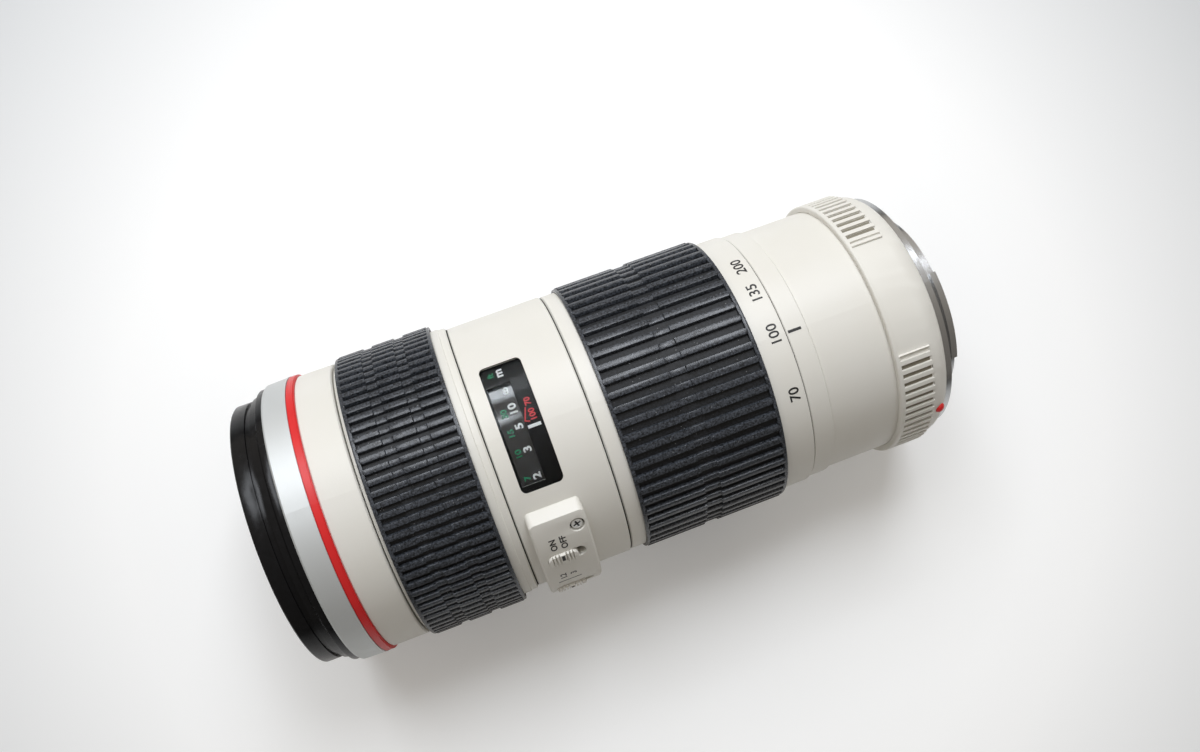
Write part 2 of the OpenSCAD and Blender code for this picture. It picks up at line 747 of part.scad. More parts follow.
module focus_lenses() {
    color(glass) {
        seated = focus_cell_len / 2 - focus_lens_t / 2 - lens_spare;
        translate([0, 0, focus_cell_z - seated]) element(focus_lens_r, focus_lens_t, focus_spheres);
        translate([0, 0, focus_cell_z + seated]) element(focus_rear_lens_r, focus_lens_t, focus_rear_spheres);
    }
}

module focus_followers() followers(focus_cell_r, sleeve_r - 0.2, focus_cell_z);

// Zoom ring and zooming groups

module zoom_ring() {
    bevel = 0.4;
    color(white) difference() {
        turned([
            [zoom_in_r, zoom_front], [zoom_ring_r - bevel, zoom_front], [zoom_ring_r, zoom_front + bevel],
            [zoom_ring_r, zoom_grip_front], [zoom_seat_r, zoom_grip_front], [zoom_seat_r, zoom_grip_rear],
            [zoom_scale_r, zoom_grip_rear], [zoom_scale_r, zoom_rear - bevel / 2],
            [zoom_scale_r - bevel / 2, zoom_rear], [zoom_in_r, zoom_rear]]);
        rotate([0, 0, key_clock]) translate([zoom_in_r - 1, -key_w / 2 - seat_gap, key_z - key_len / 2 - seat_gap])
            cube([1 + key_rise + seat_gap, key_w + 2 * seat_gap, key_len + 2 * seat_gap]);
    }
}

module zoom_grip() {
    rubber_sleeve(zoom_ribs, zoom_seat_r, zoom_grip_r, zoom_grip_front, zoom_grip_rear,
        [(zoom_grip_front + zoom_grip_rear) / 2 - 0.8], zoom_notch_len);
}

module zoom_key() {
    color(metal) rotate([0, 0, key_clock]) translate([cam_in_r + 0.3, -key_w / 2, key_z - key_len / 2])
        cube([zoom_in_r + key_rise - 0.2 - cam_in_r - 0.3, key_w, key_len]);
}

module variator_cell() lens_cell(cell_r, variator_z, variator_len, variator_lens_r,
    variator_rear_lens_r, variator_lens_t, variator_waist_r);

module variator_lenses() {
    color(glass) {
        seated = variator_len / 2 - variator_lens_t / 2 - lens_spare;
        translate([0, 0, variator_z - seated]) element(variator_lens_r, variator_lens_t, variator_spheres);
        translate([0, 0, variator_z + seated])
            element(variator_rear_lens_r, variator_lens_t, variator_rear_spheres);
    }
}

module variator_followers() followers(cell_r, cam_r - 0.2, variator_z);

module compensator_cell() lens_cell(cell_r, compensator_z, compensator_len, compensator_lens_r,
    compensator_rear_r, compensator_lens_t, compensator_waist_r);

module compensator_lens() {
    seated = compensator_len / 2 - compensator_lens_t / 2 - lens_spare;
    color(glass) translate([0, 0, compensator_z - seated])
        element(compensator_lens_r, compensator_lens_t, compensator_spheres);
}

module compensator_followers() followers(cell_r, cam_r - 0.2, compensator_z);

// Iris: each blade turns on a stud in the housing, and its other stud runs in the drive ring

module iris_housing() {
    color(black) difference() {
        union() {
            tube(iris_r, iris_r - iris_wall, iris_front, iris_front + iris_len);
            tube(iris_r - iris_wall + eps, iris_open_r, iris_front, iris_front + iris_plate_t);
        }
        round_each([for (k = [1 : iris_blades]) k * 360 / iris_blades])
            translate([iris_pivot_r, 0, iris_front - eps]) cylinder(r = stud_r + seat_gap, h = iris_plate_t + 1);
    }
}

// Place of a blade's drive stud, seen from the drive ring, at a share of the travel
function drive_point(share) =
    let (a = lever_angle + share * blade_turn, x = iris_pivot_r + lever * cos(a), y = lever * sin(a),
         b = -share * iris_ring_turn)
    [x * cos(b) - y * sin(b), x * sin(b) + y * cos(b)];

module drive_slot(half_w, steps = 12) {
    path = [for (i = [0 : steps]) drive_point(i / steps)];
    aims = [for (i = [0 : steps]) let (d = path[min(i + 1, steps)] - path[max(i - 1, 0)]) d / norm(d)];
    left = [for (i = [0 : steps]) path[i] + half_w * [-aims[i][1], aims[i][0]]];
    right = [for (i = [0 : steps]) path[steps - i] - half_w * [-aims[steps - i][1], aims[steps - i][0]]];
    linear_extrude(height = iris_ring_t + 2) {
        polygon(concat(left, right));
        for (p = [path[0], path[steps]]) translate(p) circle(r = half_w);
    }
}

// Part of a tube, spread over an angle about a clock angle
module arc(outer, inner, front, rear, angle, clock) {
    rotate([0, 0, clock - angle / 2]) rotate_extrude(angle = angle)
        translate([inner, front]) square([outer - inner, rear - front]);
}

module iris_drive_ring() {
    rear = iris_ring_z + iris_ring_t;
    color(metal) difference() {
        union() {
            tube(iris_ring_r, iris_ring_in_r, iris_ring_z, rear);
            arc(rim_r, rim_r - rim_wall, rear - iris_ring_t / 2, rear + rim_len - 0.5, rim_angle,
                motor_clock - iris_ring_turn / 2);
        }
        round_each([for (k = [1 : iris_blades]) k * 360 / iris_blades])
            translate([0, 0, iris_ring_z - 1]) drive_slot(stud_r + 0.15);
    }
}

module iris_motor() {
    rear = iris_ring_z + iris_ring_t;
    color("goldenrod") {
        arc(coil_r, coil_r - coil_t, rear + 0.4, rear + rim_len + eps, coil_angle, motor_clock);
        arc(rim_r, coil_r - coil_t, rear + rim_len, rear + rim_len + motor_len, coil_angle, motor_clock);
    }
}

module iris_magnet() {
    rear = iris_ring_z + iris_ring_t;
    color(metal) arc(magnet_r, magnet_r - magnet_t, rear + 0.3, rear + rim_len - 0.5, rim_angle - 4,
        motor_clock - iris_ring_turn / 2);
}

module blade_outline() {
    difference() {
        circle(r = iris_open_r + blade_width);
        circle(r = iris_open_r + 0.2);
        rotate(-6) translate([-40, -40]) square([80, 40]);
        rotate(blade_arc) translate([-40, 0]) square([80, 40]);
    }
    translate([iris_pivot_r, 0]) circle(r = eyelet_r);
    translate([iris_pivot_r, 0]) rotate(lever_angle) {
        translate([0, -1]) square([lever, 2]);
        translate([lever, 0]) circle(r = 1);
    }
}

module iris_blade(k) {
    level = iris_front + iris_plate_t + 0.1 + (k - 1) * iris_level;
    color("#303034") rotate([0, 0, k * 360 / iris_blades]) {
        translate([0, 0, level]) linear_extrude(height = blade_t) blade_outline();
        translate([iris_pivot_r, 0, iris_front + 0.1]) cylinder(r = stud_r, h = level - iris_front, $fn = 32);
        translate([iris_pivot_r, 0, 0]) rotate([0, 0, lever_angle])
            translate([lever, 0, level])
                cylinder(r = stud_r, h = iris_ring_z + iris_ring_t - 0.1 - level, $fn = 32);
    }
}

// Relay group

module relay_cell() {
    outer_r = guide_bore_r - seat_gap;
    color(black) difference() {
        disc(outer_r, relay_front, relay_rear);
        disc(relay_lens_r - 1.6, relay_front - eps, relay_rear + eps);
        disc(relay_lens_r + seat_gap, relay_front - eps, relay_front + second_relay_at + second_relay_t / 2);
        disc(rear_lens_r + seat_gap, relay_rear - rear_lens_at - rear_lens_t / 2, relay_rear + eps);
        tube(outer_r - 1.6, relay_lens_r + 1.6, relay_front - eps, relay_rear - 6);
    }
}

module relay_lenses() {
    color(glass) {
        translate([0, 0, relay_front + relay_lens_at]) element(relay_lens_r, relay_lens_t, relay_spheres);
        translate([0, 0, relay_front + second_relay_at])
            element(relay_lens_r, second_relay_t, second_relay_spheres);
        translate([0, 0, relay_rear - rear_lens_at]) element(rear_lens_r, rear_lens_t, rear_lens_spheres);
    }
}

// Middle barrel with the distance window and the switch panel

// Block with round corners that points outwards at a clock angle
module window_block(grow, from_r, to_r) {
    half_w = mid_r * sin(window_span / 2) + grow;
    corner = window_corner + grow;
    rotate([0, 0, window_clock]) translate([from_r, 0, 0]) rotate([0, 90, 0])
        linear_extrude(height = to_r - from_r) {
            translate([-window_rear - grow, -half_w + corner])
                square([window_len + 2 * grow, 2 * (half_w - corner)]);
            translate([-window_rear - grow + corner, -half_w])
                square([window_len + 2 * (grow - corner), 2 * half_w]);
            for (x = [-window_rear - grow + corner, -window_front + grow - corner],
                 y = [-1, 1] * (half_w - corner))
                translate([x, y]) circle(r = corner);
        }
}

module mid_barrel() {
    web_rear = mid_rear - 0.6;
    color(white) difference() {
        turned([
            [skin_in_r, mid_front - spigot_len], [spigot_r, mid_front - spigot_len], [spigot_r, mid_front],
            [mid_r - 0.3, mid_front], [mid_r, mid_front + 0.3], [mid_r, mid_rear - 0.3], [mid_r - 0.3, mid_rear],
            [zoom_spigot_r, mid_rear], [zoom_spigot_r, mid_rear + spigot_len],
            [backbone_r + seat_gap, mid_rear + spigot_len], [backbone_r + seat_gap, web_rear - web_t],
            [skin_in_r, web_rear - web_t]]);
        window_block(0, skin_in_r - 3, mid_r + 3);
    }
}

module distance_window() {
    color(glass) intersection() {
        tube(pane_r, pane_r - window_t, window_front - 1, window_rear + 1);
        window_block(-seat_gap, skin_in_r - 3, mid_r + 3);
    }
}

// Black mask under the pane: it carries the index line and shows the drum through its opening
module index_plate() {
    color(black) difference() {
        intersection() {
            tube(mask_r, mask_r - mask_t, window_front - 1, window_rear + 1);
            window_block(-seat_gap, skin_in_r - 3, mid_r + 3);
        }
        rotate([0, 0, mask_view_clocks[0]]) rotate_extrude(angle = mask_view_clocks[1] - mask_view_clocks[0])
            translate([mask_r - 3, mask_view_front]) square([6, mask_view_rear - mask_view_front]);
    }
}

// Rounded slot outline in the panel's tangent plane: long way along the lens
module slot_outline(length, width) {
    translate([width / 2, -width / 2]) square([length - width, width]);
    for (x = [width / 2, length - width / 2]) translate([x, 0]) circle(r = width / 2);
}

// Stands children on the panel at a clock angle: their x runs along the lens, their z outwards
module on_panel(clock, radius, z) {
    rotate([0, 0, clock]) translate([radius, 0, z]) rotate([0, 90, 0]) rotate([0, 0, 180]) children();
}

module switch_panel() {
    pocket = slider_flange + 0.3;
    color(white) difference() {
        rotate([0, 0, panel_start]) rotate_extrude(angle = panel_span) polygon([
            [panel_in_r, panel_front], [panel_r - panel_edge, panel_front], [panel_r, panel_front + panel_edge],
            [panel_r, panel_front + panel_len - panel_edge], [panel_r - panel_edge, panel_front + panel_len],
            [panel_in_r, panel_front + panel_len]]);
        for (end = [0, 1]) rotate([0, 0, panel_start + end * panel_span]) mirror([0, end, 0])
            translate([panel_in_r + 0.2, 0, panel_front - 1]) rotate([0, 0, panel_slope]) translate([0, -9, 0])
                cube([9, 9, panel_len + 2]);
        for (clock = slider_clocks) {
            on_panel(clock, panel_in_r - 1, slider_front - run_gap)
                linear_extrude(height = panel_t + 3) slot_outline(slot_len, slider_w + 2 * run_gap);
            on_panel(clock, mid_r - 1, slider_front - 1 - run_gap) translate([0, -slider_w / 2 - 0.9, 0])
                cube([slot_len + 2, slider_w + 1.8, 1 + pocket]);
        }
        for (i = [0, 1]) on_panel(screw_clocks[i], panel_r - screw_sink, panel_front + screw_setbacks[i])
            cylinder(r = screw_sink_r, h = 4);
    }
}

module panel_screws() {
    color(metal) for (i = [0, 1])
        on_panel(screw_clocks[i], panel_r - screw_sink + eps, panel_front + screw_setbacks[i]) difference() {
            cylinder(r = screw_head_r, h = 0.6);
            for (turn = [0, 90]) rotate([0, 0, turn + 20]) translate([-0.8, -0.2, 0.2]) cube([1.6, 0.4, 1]);
        }
}

// Slider knob with a flange under the panel, drawn at the front end of its slot
module slider(clock) {
    base = mid_r + 0.15;
    knob_h = panel_r + slider_h - base;
    color(white) {
        on_panel(clock, base, slider_front) difference() {
            linear_extrude(height = knob_h) slot_outline(slider_len, slider_w);
            for (x = [1.3, 2.1, 2.9]) for (side = [x, slider_len - x])
                translate([side - 0.18, -slider_w, knob_h - 0.35]) cube([0.36, 2 * slider_w, 1]);
        }
        on_panel(clock, base, slider_front) translate([-0.6, -slider_w / 2 - 0.5, 0])
            cube([slider_len + 1.2, slider_w + 1, slider_flange]);
    }
}

module af_slider() slider(slider_clocks[0]);

module limit_slider() slider(slider_clocks[1]);

// Rear barrel, cover and bayonet

module rear_barrel() {
    step = seat_front + 5.4;
    inner_r = tail_r - 1.6;
    color(white) difference() {
        turned([
            [backbone_r + seat_gap, seat_front - spigot_len], [zoom_spigot_r, seat_front - spigot_len],
            [zoom_spigot_r, seat_front], [seat_step_r - 0.2, seat_front], [seat_step_r, seat_front + 0.2],
            [seat_step_r, step - 0.2], [seat_step_r - 0.2, step], [seat_r, step + 0.2], [seat_r, cover_front + 2],
            [tail_r, cover_front + 2], [tail_r, cover_rear], [mount_lip_r, cover_rear],
            [mount_lip_r, cover_rear - mount_lip_t], [inner_r, cover_rear - mount_lip_t],
            [inner_r, backbone_rear + lip_t], [backbone_in_r, backbone_rear + lip_t],
            [backbone_in_r, backbone_rear + seat_gap], [backbone_r + seat_gap, backbone_rear + seat_gap]]);
        round_each(mount_screw_clocks) translate([mount_screw_r, 0, 0])
            disc(screw_shank_r + seat_gap, cover_rear - mount_lip_t + 0.4, 1);
    }
}

// Place of the dot: its axis stands square on the cover's shoulder
module on_shoulder(depth) {
    rotate([0, 0, dot_clock]) translate([cover_r - 0.6 + shoulder[1][0] - 0.25, 0, cover_rear - 2.3])
        rotate([0, 90 - dot_tilt, 0]) translate([0, 0, -depth]) children();
}

module rear_cover() {
    bare_r = cover_r - 0.6;
    slot_front = cover_front + 1.2;
    slot_rear = cover_rear - 5;
    slot_w = 1.25;
    rib_pitch = 4;
    bare_half = 24.6;
    ribs_a_side = 33;
    lip_r = tail_r + seat_gap;
    color(white) difference() {
        turned([
            [seat_r + seat_gap, cover_front], [cover_r - 0.3, cover_front], [cover_r, cover_front + 0.3],
            [cover_r, slot_rear + 0.2], [bare_r + shoulder[0][0], cover_rear + shoulder[0][1]],
            [bare_r + shoulder[1][0], cover_rear + shoulder[1][1]],
            [bare_r + shoulder[2][0], cover_rear + shoulder[2][1]],
            [flange_r + 0.4, cover_rear - 0.25], [lip_r, cover_rear - 0.25], [lip_r, cover_front + 2 + seat_gap],
            [seat_r + seat_gap, cover_front + 2 + seat_gap]]);
        for (side = [0, 180]) rotate([0, 0, side - bare_half]) rotate_extrude(angle = 2 * bare_half)
            translate([bare_r, cover_front + 1]) square([2, cover_len]);
        for (side = [0, 180], k = [0 : ribs_a_side - 1])
            rotate([0, 0, side + bare_half + 1.4 + k * rib_pitch])
                translate([bare_r, -slot_w / 2, slot_front]) cube([3, slot_w, slot_rear - slot_front + 2]);
        on_shoulder(0.4) cylinder(r = dot_r + seat_gap, h = 2);
    }
}

module index_dot() {
    color("red") on_shoulder(0.4 - eps) cylinder(r = dot_r, h = 0.42);
}

// Bayonet and what it carries

module bayonet_mount() {
    hole_r = 1;
    claw_step = 0.2;
    color(metal) difference() {
        union() {
            turned([
                [neck_in_r, -flange_t], [flange_r, -flange_t], [flange_r, 0], [undercut_r, 0],
                [undercut_r, -undercut_t], [neck_r, -undercut_t], [neck_r, neck_len], [neck_in_r, neck_len]]);
            for (k = [0 : 2]) rotate([0, 0, claw_clock - claw_span / 2 + 120 * k])
                rotate_extrude(angle = claw_span)
                    translate([neck_r - 0.5, neck_len - claw_step - claw_t])
                        square([claw_r - neck_r + 0.5, claw_t]);
        }
        round_each(mount_screw_clocks) translate([mount_screw_r, 0, 0]) {
            translate([0, 0, -flange_t - eps]) cylinder(r = hole_r, h = flange_t + 1);
            translate([0, 0, -0.9]) cylinder(r = mount_screw_head_r + 0.1, h = 2);
        }
        rotate([0, 0, claw_clock + 100]) translate([mount_screw_r - 1.2, -1.4, -1]) cube([2.4, 2.8, 2]);
    }
}

module mount_screws() {
    color(metal) round_each(mount_screw_clocks) translate([mount_screw_r, 0, -0.9 + eps]) difference() {
        union() {
            cylinder(r = mount_screw_head_r, h = 0.8);
            translate([0, 0, -2.4]) cylinder(r = screw_shank_r, h = 2.6);
        }
        for (turn = [0, 90]) rotate([0, 0, turn]) translate([-0.8, -0.2, 0.35]) cube([1.6, 0.4, 1]);
    }
}

module rear_baffle() {
    color(black) difference() {
        turned([
            [baffle_r, -flange_t], [baffle_r, neck_len], [baffle_r - 0.6, baffle_rear],
            [baffle_in_r + 0.8, baffle_rear],
            [baffle_in_r, baffle_rear - 0.8], [baffle_in_r, 1.6], [relay_lens_r + 2, -flange_t]]);
        rotate([0, 0, 180 - contact_span / 2]) rotate_extrude(angle = contact_span)
            translate([contact_in_r, 1]) square([8, 12]);
    }
}

module contact_block() {
    margin = 0.6;
    color(black) rotate([0, 0, 180 - contact_span / 2 + margin]) rotate_extrude(angle = contact_span - 2 * margin)
        translate([contact_in_r + 0.1, 1 + eps]) square([baffle_r - contact_in_r - 0.1, contact_rear - 1]);
}

module contact_pins() {
    pitch = (contact_span - 10) / (contact_count - 1);
    mid_r = (contact_in_r + baffle_r) / 2;
    color("gold") round_each([for (k = [0 : contact_count - 1]) 180 + (k - (contact_count - 1) / 2) * pitch])
        translate([mid_r, 0, contact_rear + 2 * eps]) cylinder(r1 = pin_r, r2 = pin_r - 0.25, h = 0.5);
}

module main_board() {
    board_r = tail_r - 1.6 - 0.2;
    rear = cover_rear - mount_lip_t - 0.02;
    color("darkgreen") difference() {
        tube(board_r, relay_lens_r + 8, rear - board_t, rear);
        rotate([0, 0, 130]) rotate_extrude(angle = 40) translate([board_r - 3, rear - 20]) square([8, 40]);
    }
}

lay() filter_ring();
lay() name_ring();
lay() red_ring();
lay() front_barrel();
lay() mid_barrel();
lay() rear_barrel();
lay() rear_cover();
lay() index_dot();
lay() backbone_barrel();
lay() guide_barrel();
lay() cam_stop_ring();
lay() distance_window();
lay() index_plate();
lay() switch_panel();
lay() panel_screws();
lay() af_slider();
lay() limit_slider();
lay() bayonet_mount();
lay() mount_screws();
lay() rear_baffle();
lay() contact_block();
lay() contact_pins();
lay() main_board();
lay() front_cell();
lay() front_retainer();
lay() front_lenses();
lay() motor_stator();
lay() motor_rotor();
lay() focus_ring();
lay() focus_grip();
lay() manual_ring();
lay() scale_drum();
lay() drive_rollers();
lay() focus_cell();
lay() focus_lenses();
lay() focus_followers();
lay() zoom_ring();
lay() zoom_grip();
lay() zoom_key();
lay() cam_barrel();
lay() variator_cell();
lay() variator_lenses();
lay() variator_followers();
lay() compensator_cell();
lay() compensator_lens();
lay() compensator_followers();
lay() iris_housing();
lay() iris_drive_ring();
lay() iris_motor();
lay() iris_magnet();
lay() relay_cell();
lay() relay_lenses();
for (k = [1 : iris_blades])
    lay() iris_blade(k);
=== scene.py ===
"""Looks of a white telephoto zoom lens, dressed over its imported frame, in metres."""

import math
import bpy
from mathutils import Matrix, Vector


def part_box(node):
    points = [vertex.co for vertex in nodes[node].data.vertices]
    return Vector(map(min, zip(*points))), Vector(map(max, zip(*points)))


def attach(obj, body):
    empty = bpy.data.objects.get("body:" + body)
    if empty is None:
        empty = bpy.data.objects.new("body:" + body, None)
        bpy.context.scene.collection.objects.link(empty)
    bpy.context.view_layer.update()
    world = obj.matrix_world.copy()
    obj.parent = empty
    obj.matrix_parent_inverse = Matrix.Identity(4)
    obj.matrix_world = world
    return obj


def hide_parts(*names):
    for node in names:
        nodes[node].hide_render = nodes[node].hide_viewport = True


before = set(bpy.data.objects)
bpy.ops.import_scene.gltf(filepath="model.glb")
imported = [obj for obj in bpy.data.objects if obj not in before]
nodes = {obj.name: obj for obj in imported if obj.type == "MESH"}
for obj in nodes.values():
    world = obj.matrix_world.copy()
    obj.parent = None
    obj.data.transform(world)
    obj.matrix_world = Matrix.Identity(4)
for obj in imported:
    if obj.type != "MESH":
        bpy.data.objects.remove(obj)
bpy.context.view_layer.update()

# Lens elements: ground and polished optical glass in five groups, each seated in its cell.
# Their faces carry a vapour-deposited film against reflections, which leaves a violet and green glint.
MM = 0.001


def linear(hex_colour):
    """Linear colour of an sRGB hex value."""
    channels = [int(hex_colour[i:i + 2], 16) / 255 for i in (1, 3, 5)]
    return [c / 12.92 if c <= 0.04045 else ((c + 0.055) / 1.055) ** 2.4 for c in channels] + [1]


def add(material, kind, settings, *links):
    """Adds a node: settings name its properties and sockets, links pair a socket with what feeds it."""
    new = material.node_tree.nodes.new(kind)
    for name, value in settings.items():
        if isinstance(name, str) and hasattr(new, name):
            setattr(new, name, value)
        else:
            new.inputs[name].default_value = value
    for socket, source in links:
        material.node_tree.links.new(source, new.inputs[socket])
    return new


def finish(name, settings):
    """A new material with these shader values; gives it, its shader and its Object coordinates."""
    material = bpy.data.materials.new(name)
    material.use_nodes = True
    shader = material.node_tree.nodes["Principled BSDF"]
    for socket, value in settings.items():
        shader.inputs[socket].default_value = value
    return material, shader, add(material, "ShaderNodeTexCoord", {}).outputs["Object"]


def feed(shader, socket, source):
    """Links a source to one of the shader's sockets."""
    shader.id_data.links.new(source, shader.inputs[socket])


def dress(material, *names):
    """Gives CAD nodes a finish."""
    for name in names:
        for slot in nodes[name].material_slots:
            slot.material = material


# Polished glass shows only its film and a little dust: specks about 0.3 mm apart, barely rougher
# than the rest.
coated_glass, shader, place = finish("coated_optical_glass", {
    "Base Color": linear("#FFFFFF"), "IOR": 1.62, "Transmission Weight": 1.0,
    "Thin Film Thickness": 330.0, "Thin Film IOR": 1.38})
dust = add(coated_glass, "ShaderNodeTexNoise", {"Scale": 1 / (0.3 * MM), "Detail": 2.0}, ("Vector", place))
dust_film = add(coated_glass, "ShaderNodeMapRange", {
    "From Min": 0.62, "From Max": 0.8, "To Min": 0.0, "To Max": 0.02}, ("Value", dust.outputs["Fac"]))
feed(shader, "Roughness", dust_film.outputs["Result"])
dress(coated_glass, "front_lenses", "focus_lenses", "variator_lenses", "compensator_lens", "relay_lenses")

# Cells, barrels and baffles round the glass: turned aluminium, pressed and screwed together.
# They are anodised matt black, so that they throw back no light.
# Fine tool marks run round them, 0.2 mm apart.
black_anodised, shader, place = finish("matt_black_anodised_aluminium", {
    "Base Color": linear("#17181A"), "Roughness": 0.55, "IOR": 1.6})
station = add(black_anodised, "ShaderNodeSeparateXYZ", {}, ("Vector", place))
tool_marks = add(black_anodised, "ShaderNodeTexNoise", {
    "noise_dimensions": "1D", "Scale": 1 / (0.2 * MM), "Detail": 3.0}, ("W", station.outputs["X"]))
tone = add(black_anodised, "ShaderNodeMix", {
    "data_type": "RGBA", 6: linear("#111214"), 7: linear("#212327")}, ("Factor", tool_marks.outputs["Fac"]))
relief = add(black_anodised, "ShaderNodeBump", {"Strength": 0.3, "Distance": 0.02 * MM},
             ("Height", tool_marks.outputs["Fac"]))
feed(shader, "Base Color", tone.outputs[2])
feed(shader, "Normal", relief.outputs["Normal"])
dress(black_anodised, "front_cell", "front_retainer", "focus_cell", "variator_cell", "compensator_cell",
      "relay_cell", "backbone_barrel", "guide_barrel", "cam_stop_ring", "iris_housing", "rear_baffle")

# Cam barrel, followers, rollers, key and rings of the drive: plain turned metal, bright where the parts run.
# The cut leaves fine rings 0.15 mm apart and a soft sheen.
turned_metal, shader, place = finish("turned_bright_metal", {
    "Base Color": linear("#B9BABA"), "Metallic": 1.0, "Roughness": 0.35})
station = add(turned_metal, "ShaderNodeSeparateXYZ", {}, ("Vector", place))
cut = add(turned_metal, "ShaderNodeTexNoise", {
    "noise_dimensions": "1D", "Scale": 1 / (0.15 * MM), "Detail": 2.0}, ("W", station.outputs["X"]))
gloss = add(turned_metal, "ShaderNodeMapRange", {"To Min": 0.26, "To Max": 0.46},
            ("Value", cut.outputs["Fac"]))
feed(shader, "Roughness", gloss.outputs["Result"])
dress(turned_metal, "cam_barrel", "focus_followers", "variator_followers", "compensator_followers",
      "drive_rollers", "zoom_key", "manual_ring", "motor_rotor", "iris_magnet", "iris_drive_ring")

# Motor comb and iris coil: cut brass and wound copper, fixed in their seats.
# The metal is a little tarnished, and browner in patches some 2 mm wide.
brass, shader, place = finish("cut_brass", {
    "Base Color": linear("#C9A45A"), "Metallic": 1.0, "Roughness": 0.32})
tarnish = add(brass, "ShaderNodeTexNoise", {"Scale": 1 / (2 * MM), "Detail": 4.0}, ("Vector", place))
tone = add(brass, "ShaderNodeMix", {"data_type": "RGBA", 6: linear("#D2AE66"), 7: linear("#A5803F")},
           ("Factor", tarnish.outputs["Fac"]))
feed(shader, "Base Color", tone.outputs[2])
dress(brass, "motor_stator", "iris_motor")

# Iris blades: eight leaves stamped from thin spring steel, each turning on its own stud in the iris housing.
# They are blackened and burnished, which leaves faint streaks about 0.5 mm wide.
blade_steel, shader, place = finish("blackened_spring_steel", {
    "Base Color": linear("#2C2D30"), "Metallic": 0.7, "Roughness": 0.42})
streaks = add(blade_steel, "ShaderNodeTexNoise", {"Scale": 1 / (0.5 * MM), "Detail": 3.0}, ("Vector", place))
gloss = add(blade_steel, "ShaderNodeMapRange", {"To Min": 0.34, "To Max": 0.52},
            ("Value", streaks.outputs["Fac"]))
feed(shader, "Roughness", gloss.outputs["Result"])
dress(blade_steel, *[f"iris_blade_{k}" for k in range(1, 9)])

# Painted barrels and rings: aluminium and moulded resin under a warm white stoved paint.
# The paint has a fine orange peel, 0.35 mm from crest to crest, and has yellowed unevenly over some 20 mm.
white_paint, shader, place = finish("stoved_warm_white_paint", {
    "Base Color": linear("#DFDCD5"), "Roughness": 0.42, "IOR": 1.5})
ageing = add(white_paint, "ShaderNodeTexNoise", {"Scale": 1 / (20 * MM), "Detail": 3.0}, ("Vector", place))
peel = add(white_paint, "ShaderNodeTexNoise", {"Scale": 1 / (0.35 * MM), "Detail": 2.0}, ("Vector", place))
tone = add(white_paint, "ShaderNodeMix", {"data_type": "RGBA", 6: linear("#E5E3DD"), 7: linear("#DEDBD1")},
           ("Factor", ageing.outputs["Fac"]))
gloss = add(white_paint, "ShaderNodeMapRange", {"To Min": 0.36, "To Max": 0.5},
            ("Value", peel.outputs["Fac"]))
relief = add(white_paint, "ShaderNodeBump", {"Strength": 0.25, "Distance": 0.03 * MM},
             ("Height", peel.outputs["Fac"]))
feed(shader, "Base Color", tone.outputs[2])
feed(shader, "Roughness", gloss.outputs["Result"])
feed(shader, "Normal", relief.outputs["Normal"])
dress(white_paint, "front_barrel", "focus_ring", "mid_barrel", "zoom_ring", "rear_barrel", "rear_cover",
      "switch_panel", "af_slider", "limit_slider")

# Distance drum: a black enamelled ring that turns under the window, smooth and a little dusty.
# Metres are printed on it in white and feet in green, beside each other.
drum_enamel, shader, place = finish("satin_black_enamel", {
    "Base Color": linear("#26272A"), "Roughness": 0.11, "IOR": 1.9})
dust = add(drum_enamel, "ShaderNodeTexNoise", {"Scale": 1 / (0.4 * MM), "Detail": 4.0}, ("Vector", place))
tone = add(drum_enamel, "ShaderNodeMix", {"data_type": "RGBA", 6: linear("#222326"), 7: linear("#34363A")},
           ("Factor", dust.outputs["Fac"]))
feed(shader, "Base Color", tone.outputs[2])
dress(drum_enamel, "scale_drum")

INK_SINK, INK_RISE, BLANK_THICKNESS = 0.06 * MM, 0.05 * MM, 0.1 * MM
CAPITAL_SHARE = 0.73


def printing_ink(name, base, worn):
    """Pad-printed ink of a colour, thinner in specks about 0.25 mm wide."""
    ink, shader, place = finish(name, {"Base Color": linear(base), "Roughness": 0.5})
    specks = add(ink, "ShaderNodeTexNoise", {"Scale": 1 / (0.25 * MM), "Detail": 2.0}, ("Vector", place))
    tone = add(ink, "ShaderNodeMix", {"data_type": "RGBA", 6: linear(base), 7: linear(worn)},
               ("Factor", specks.outputs["Fac"]))
    feed(shader, "Base Color", tone.outputs[2])
    return ink


def wrap(mark, x, clock, radius):
    """Lays a flat mark round the lens, its middle at a station and a clock angle, its tops to the front."""
    for vertex in mark.data.vertices:
        across, along, out = vertex.co
        turn = math.radians(clock) - across / radius
        level = radius + (INK_RISE if out > 0 else -INK_SINK)
        vertex.co = (x - along, -level * math.sin(turn), level * math.cos(turn))


def figures(words, height, x, clock, radius, turned_by=0.0, boldness=0.012, stretch=1.0):
    """Figures of a height, printed round the lens, bolder or wider where asked."""
    bpy.ops.object.select_all(action="DESELECT")
    bpy.ops.object.text_add()
    mark = bpy.context.object
    mark.data.body = words
    mark.data.align_x = mark.data.align_y = "CENTER"
    mark.data.offset = boldness
    mark.data.extrude = 0.1
    mark.data.resolution_u = 4
    bpy.ops.object.convert(target="MESH")
    mark = bpy.context.object
    middle = sum((Vector(corner) for corner in mark.bound_box), Vector()) / 8
    size = height / CAPITAL_SHARE
    mark.data.transform(Matrix.Rotation(math.radians(turned_by), 4, "Z")
                        @ Matrix.Diagonal((size * stretch, size, size, 1))
                        @ Matrix.Translation((-middle.x, -middle.y, 0)))
    wrap(mark, x, clock, radius)
    return mark


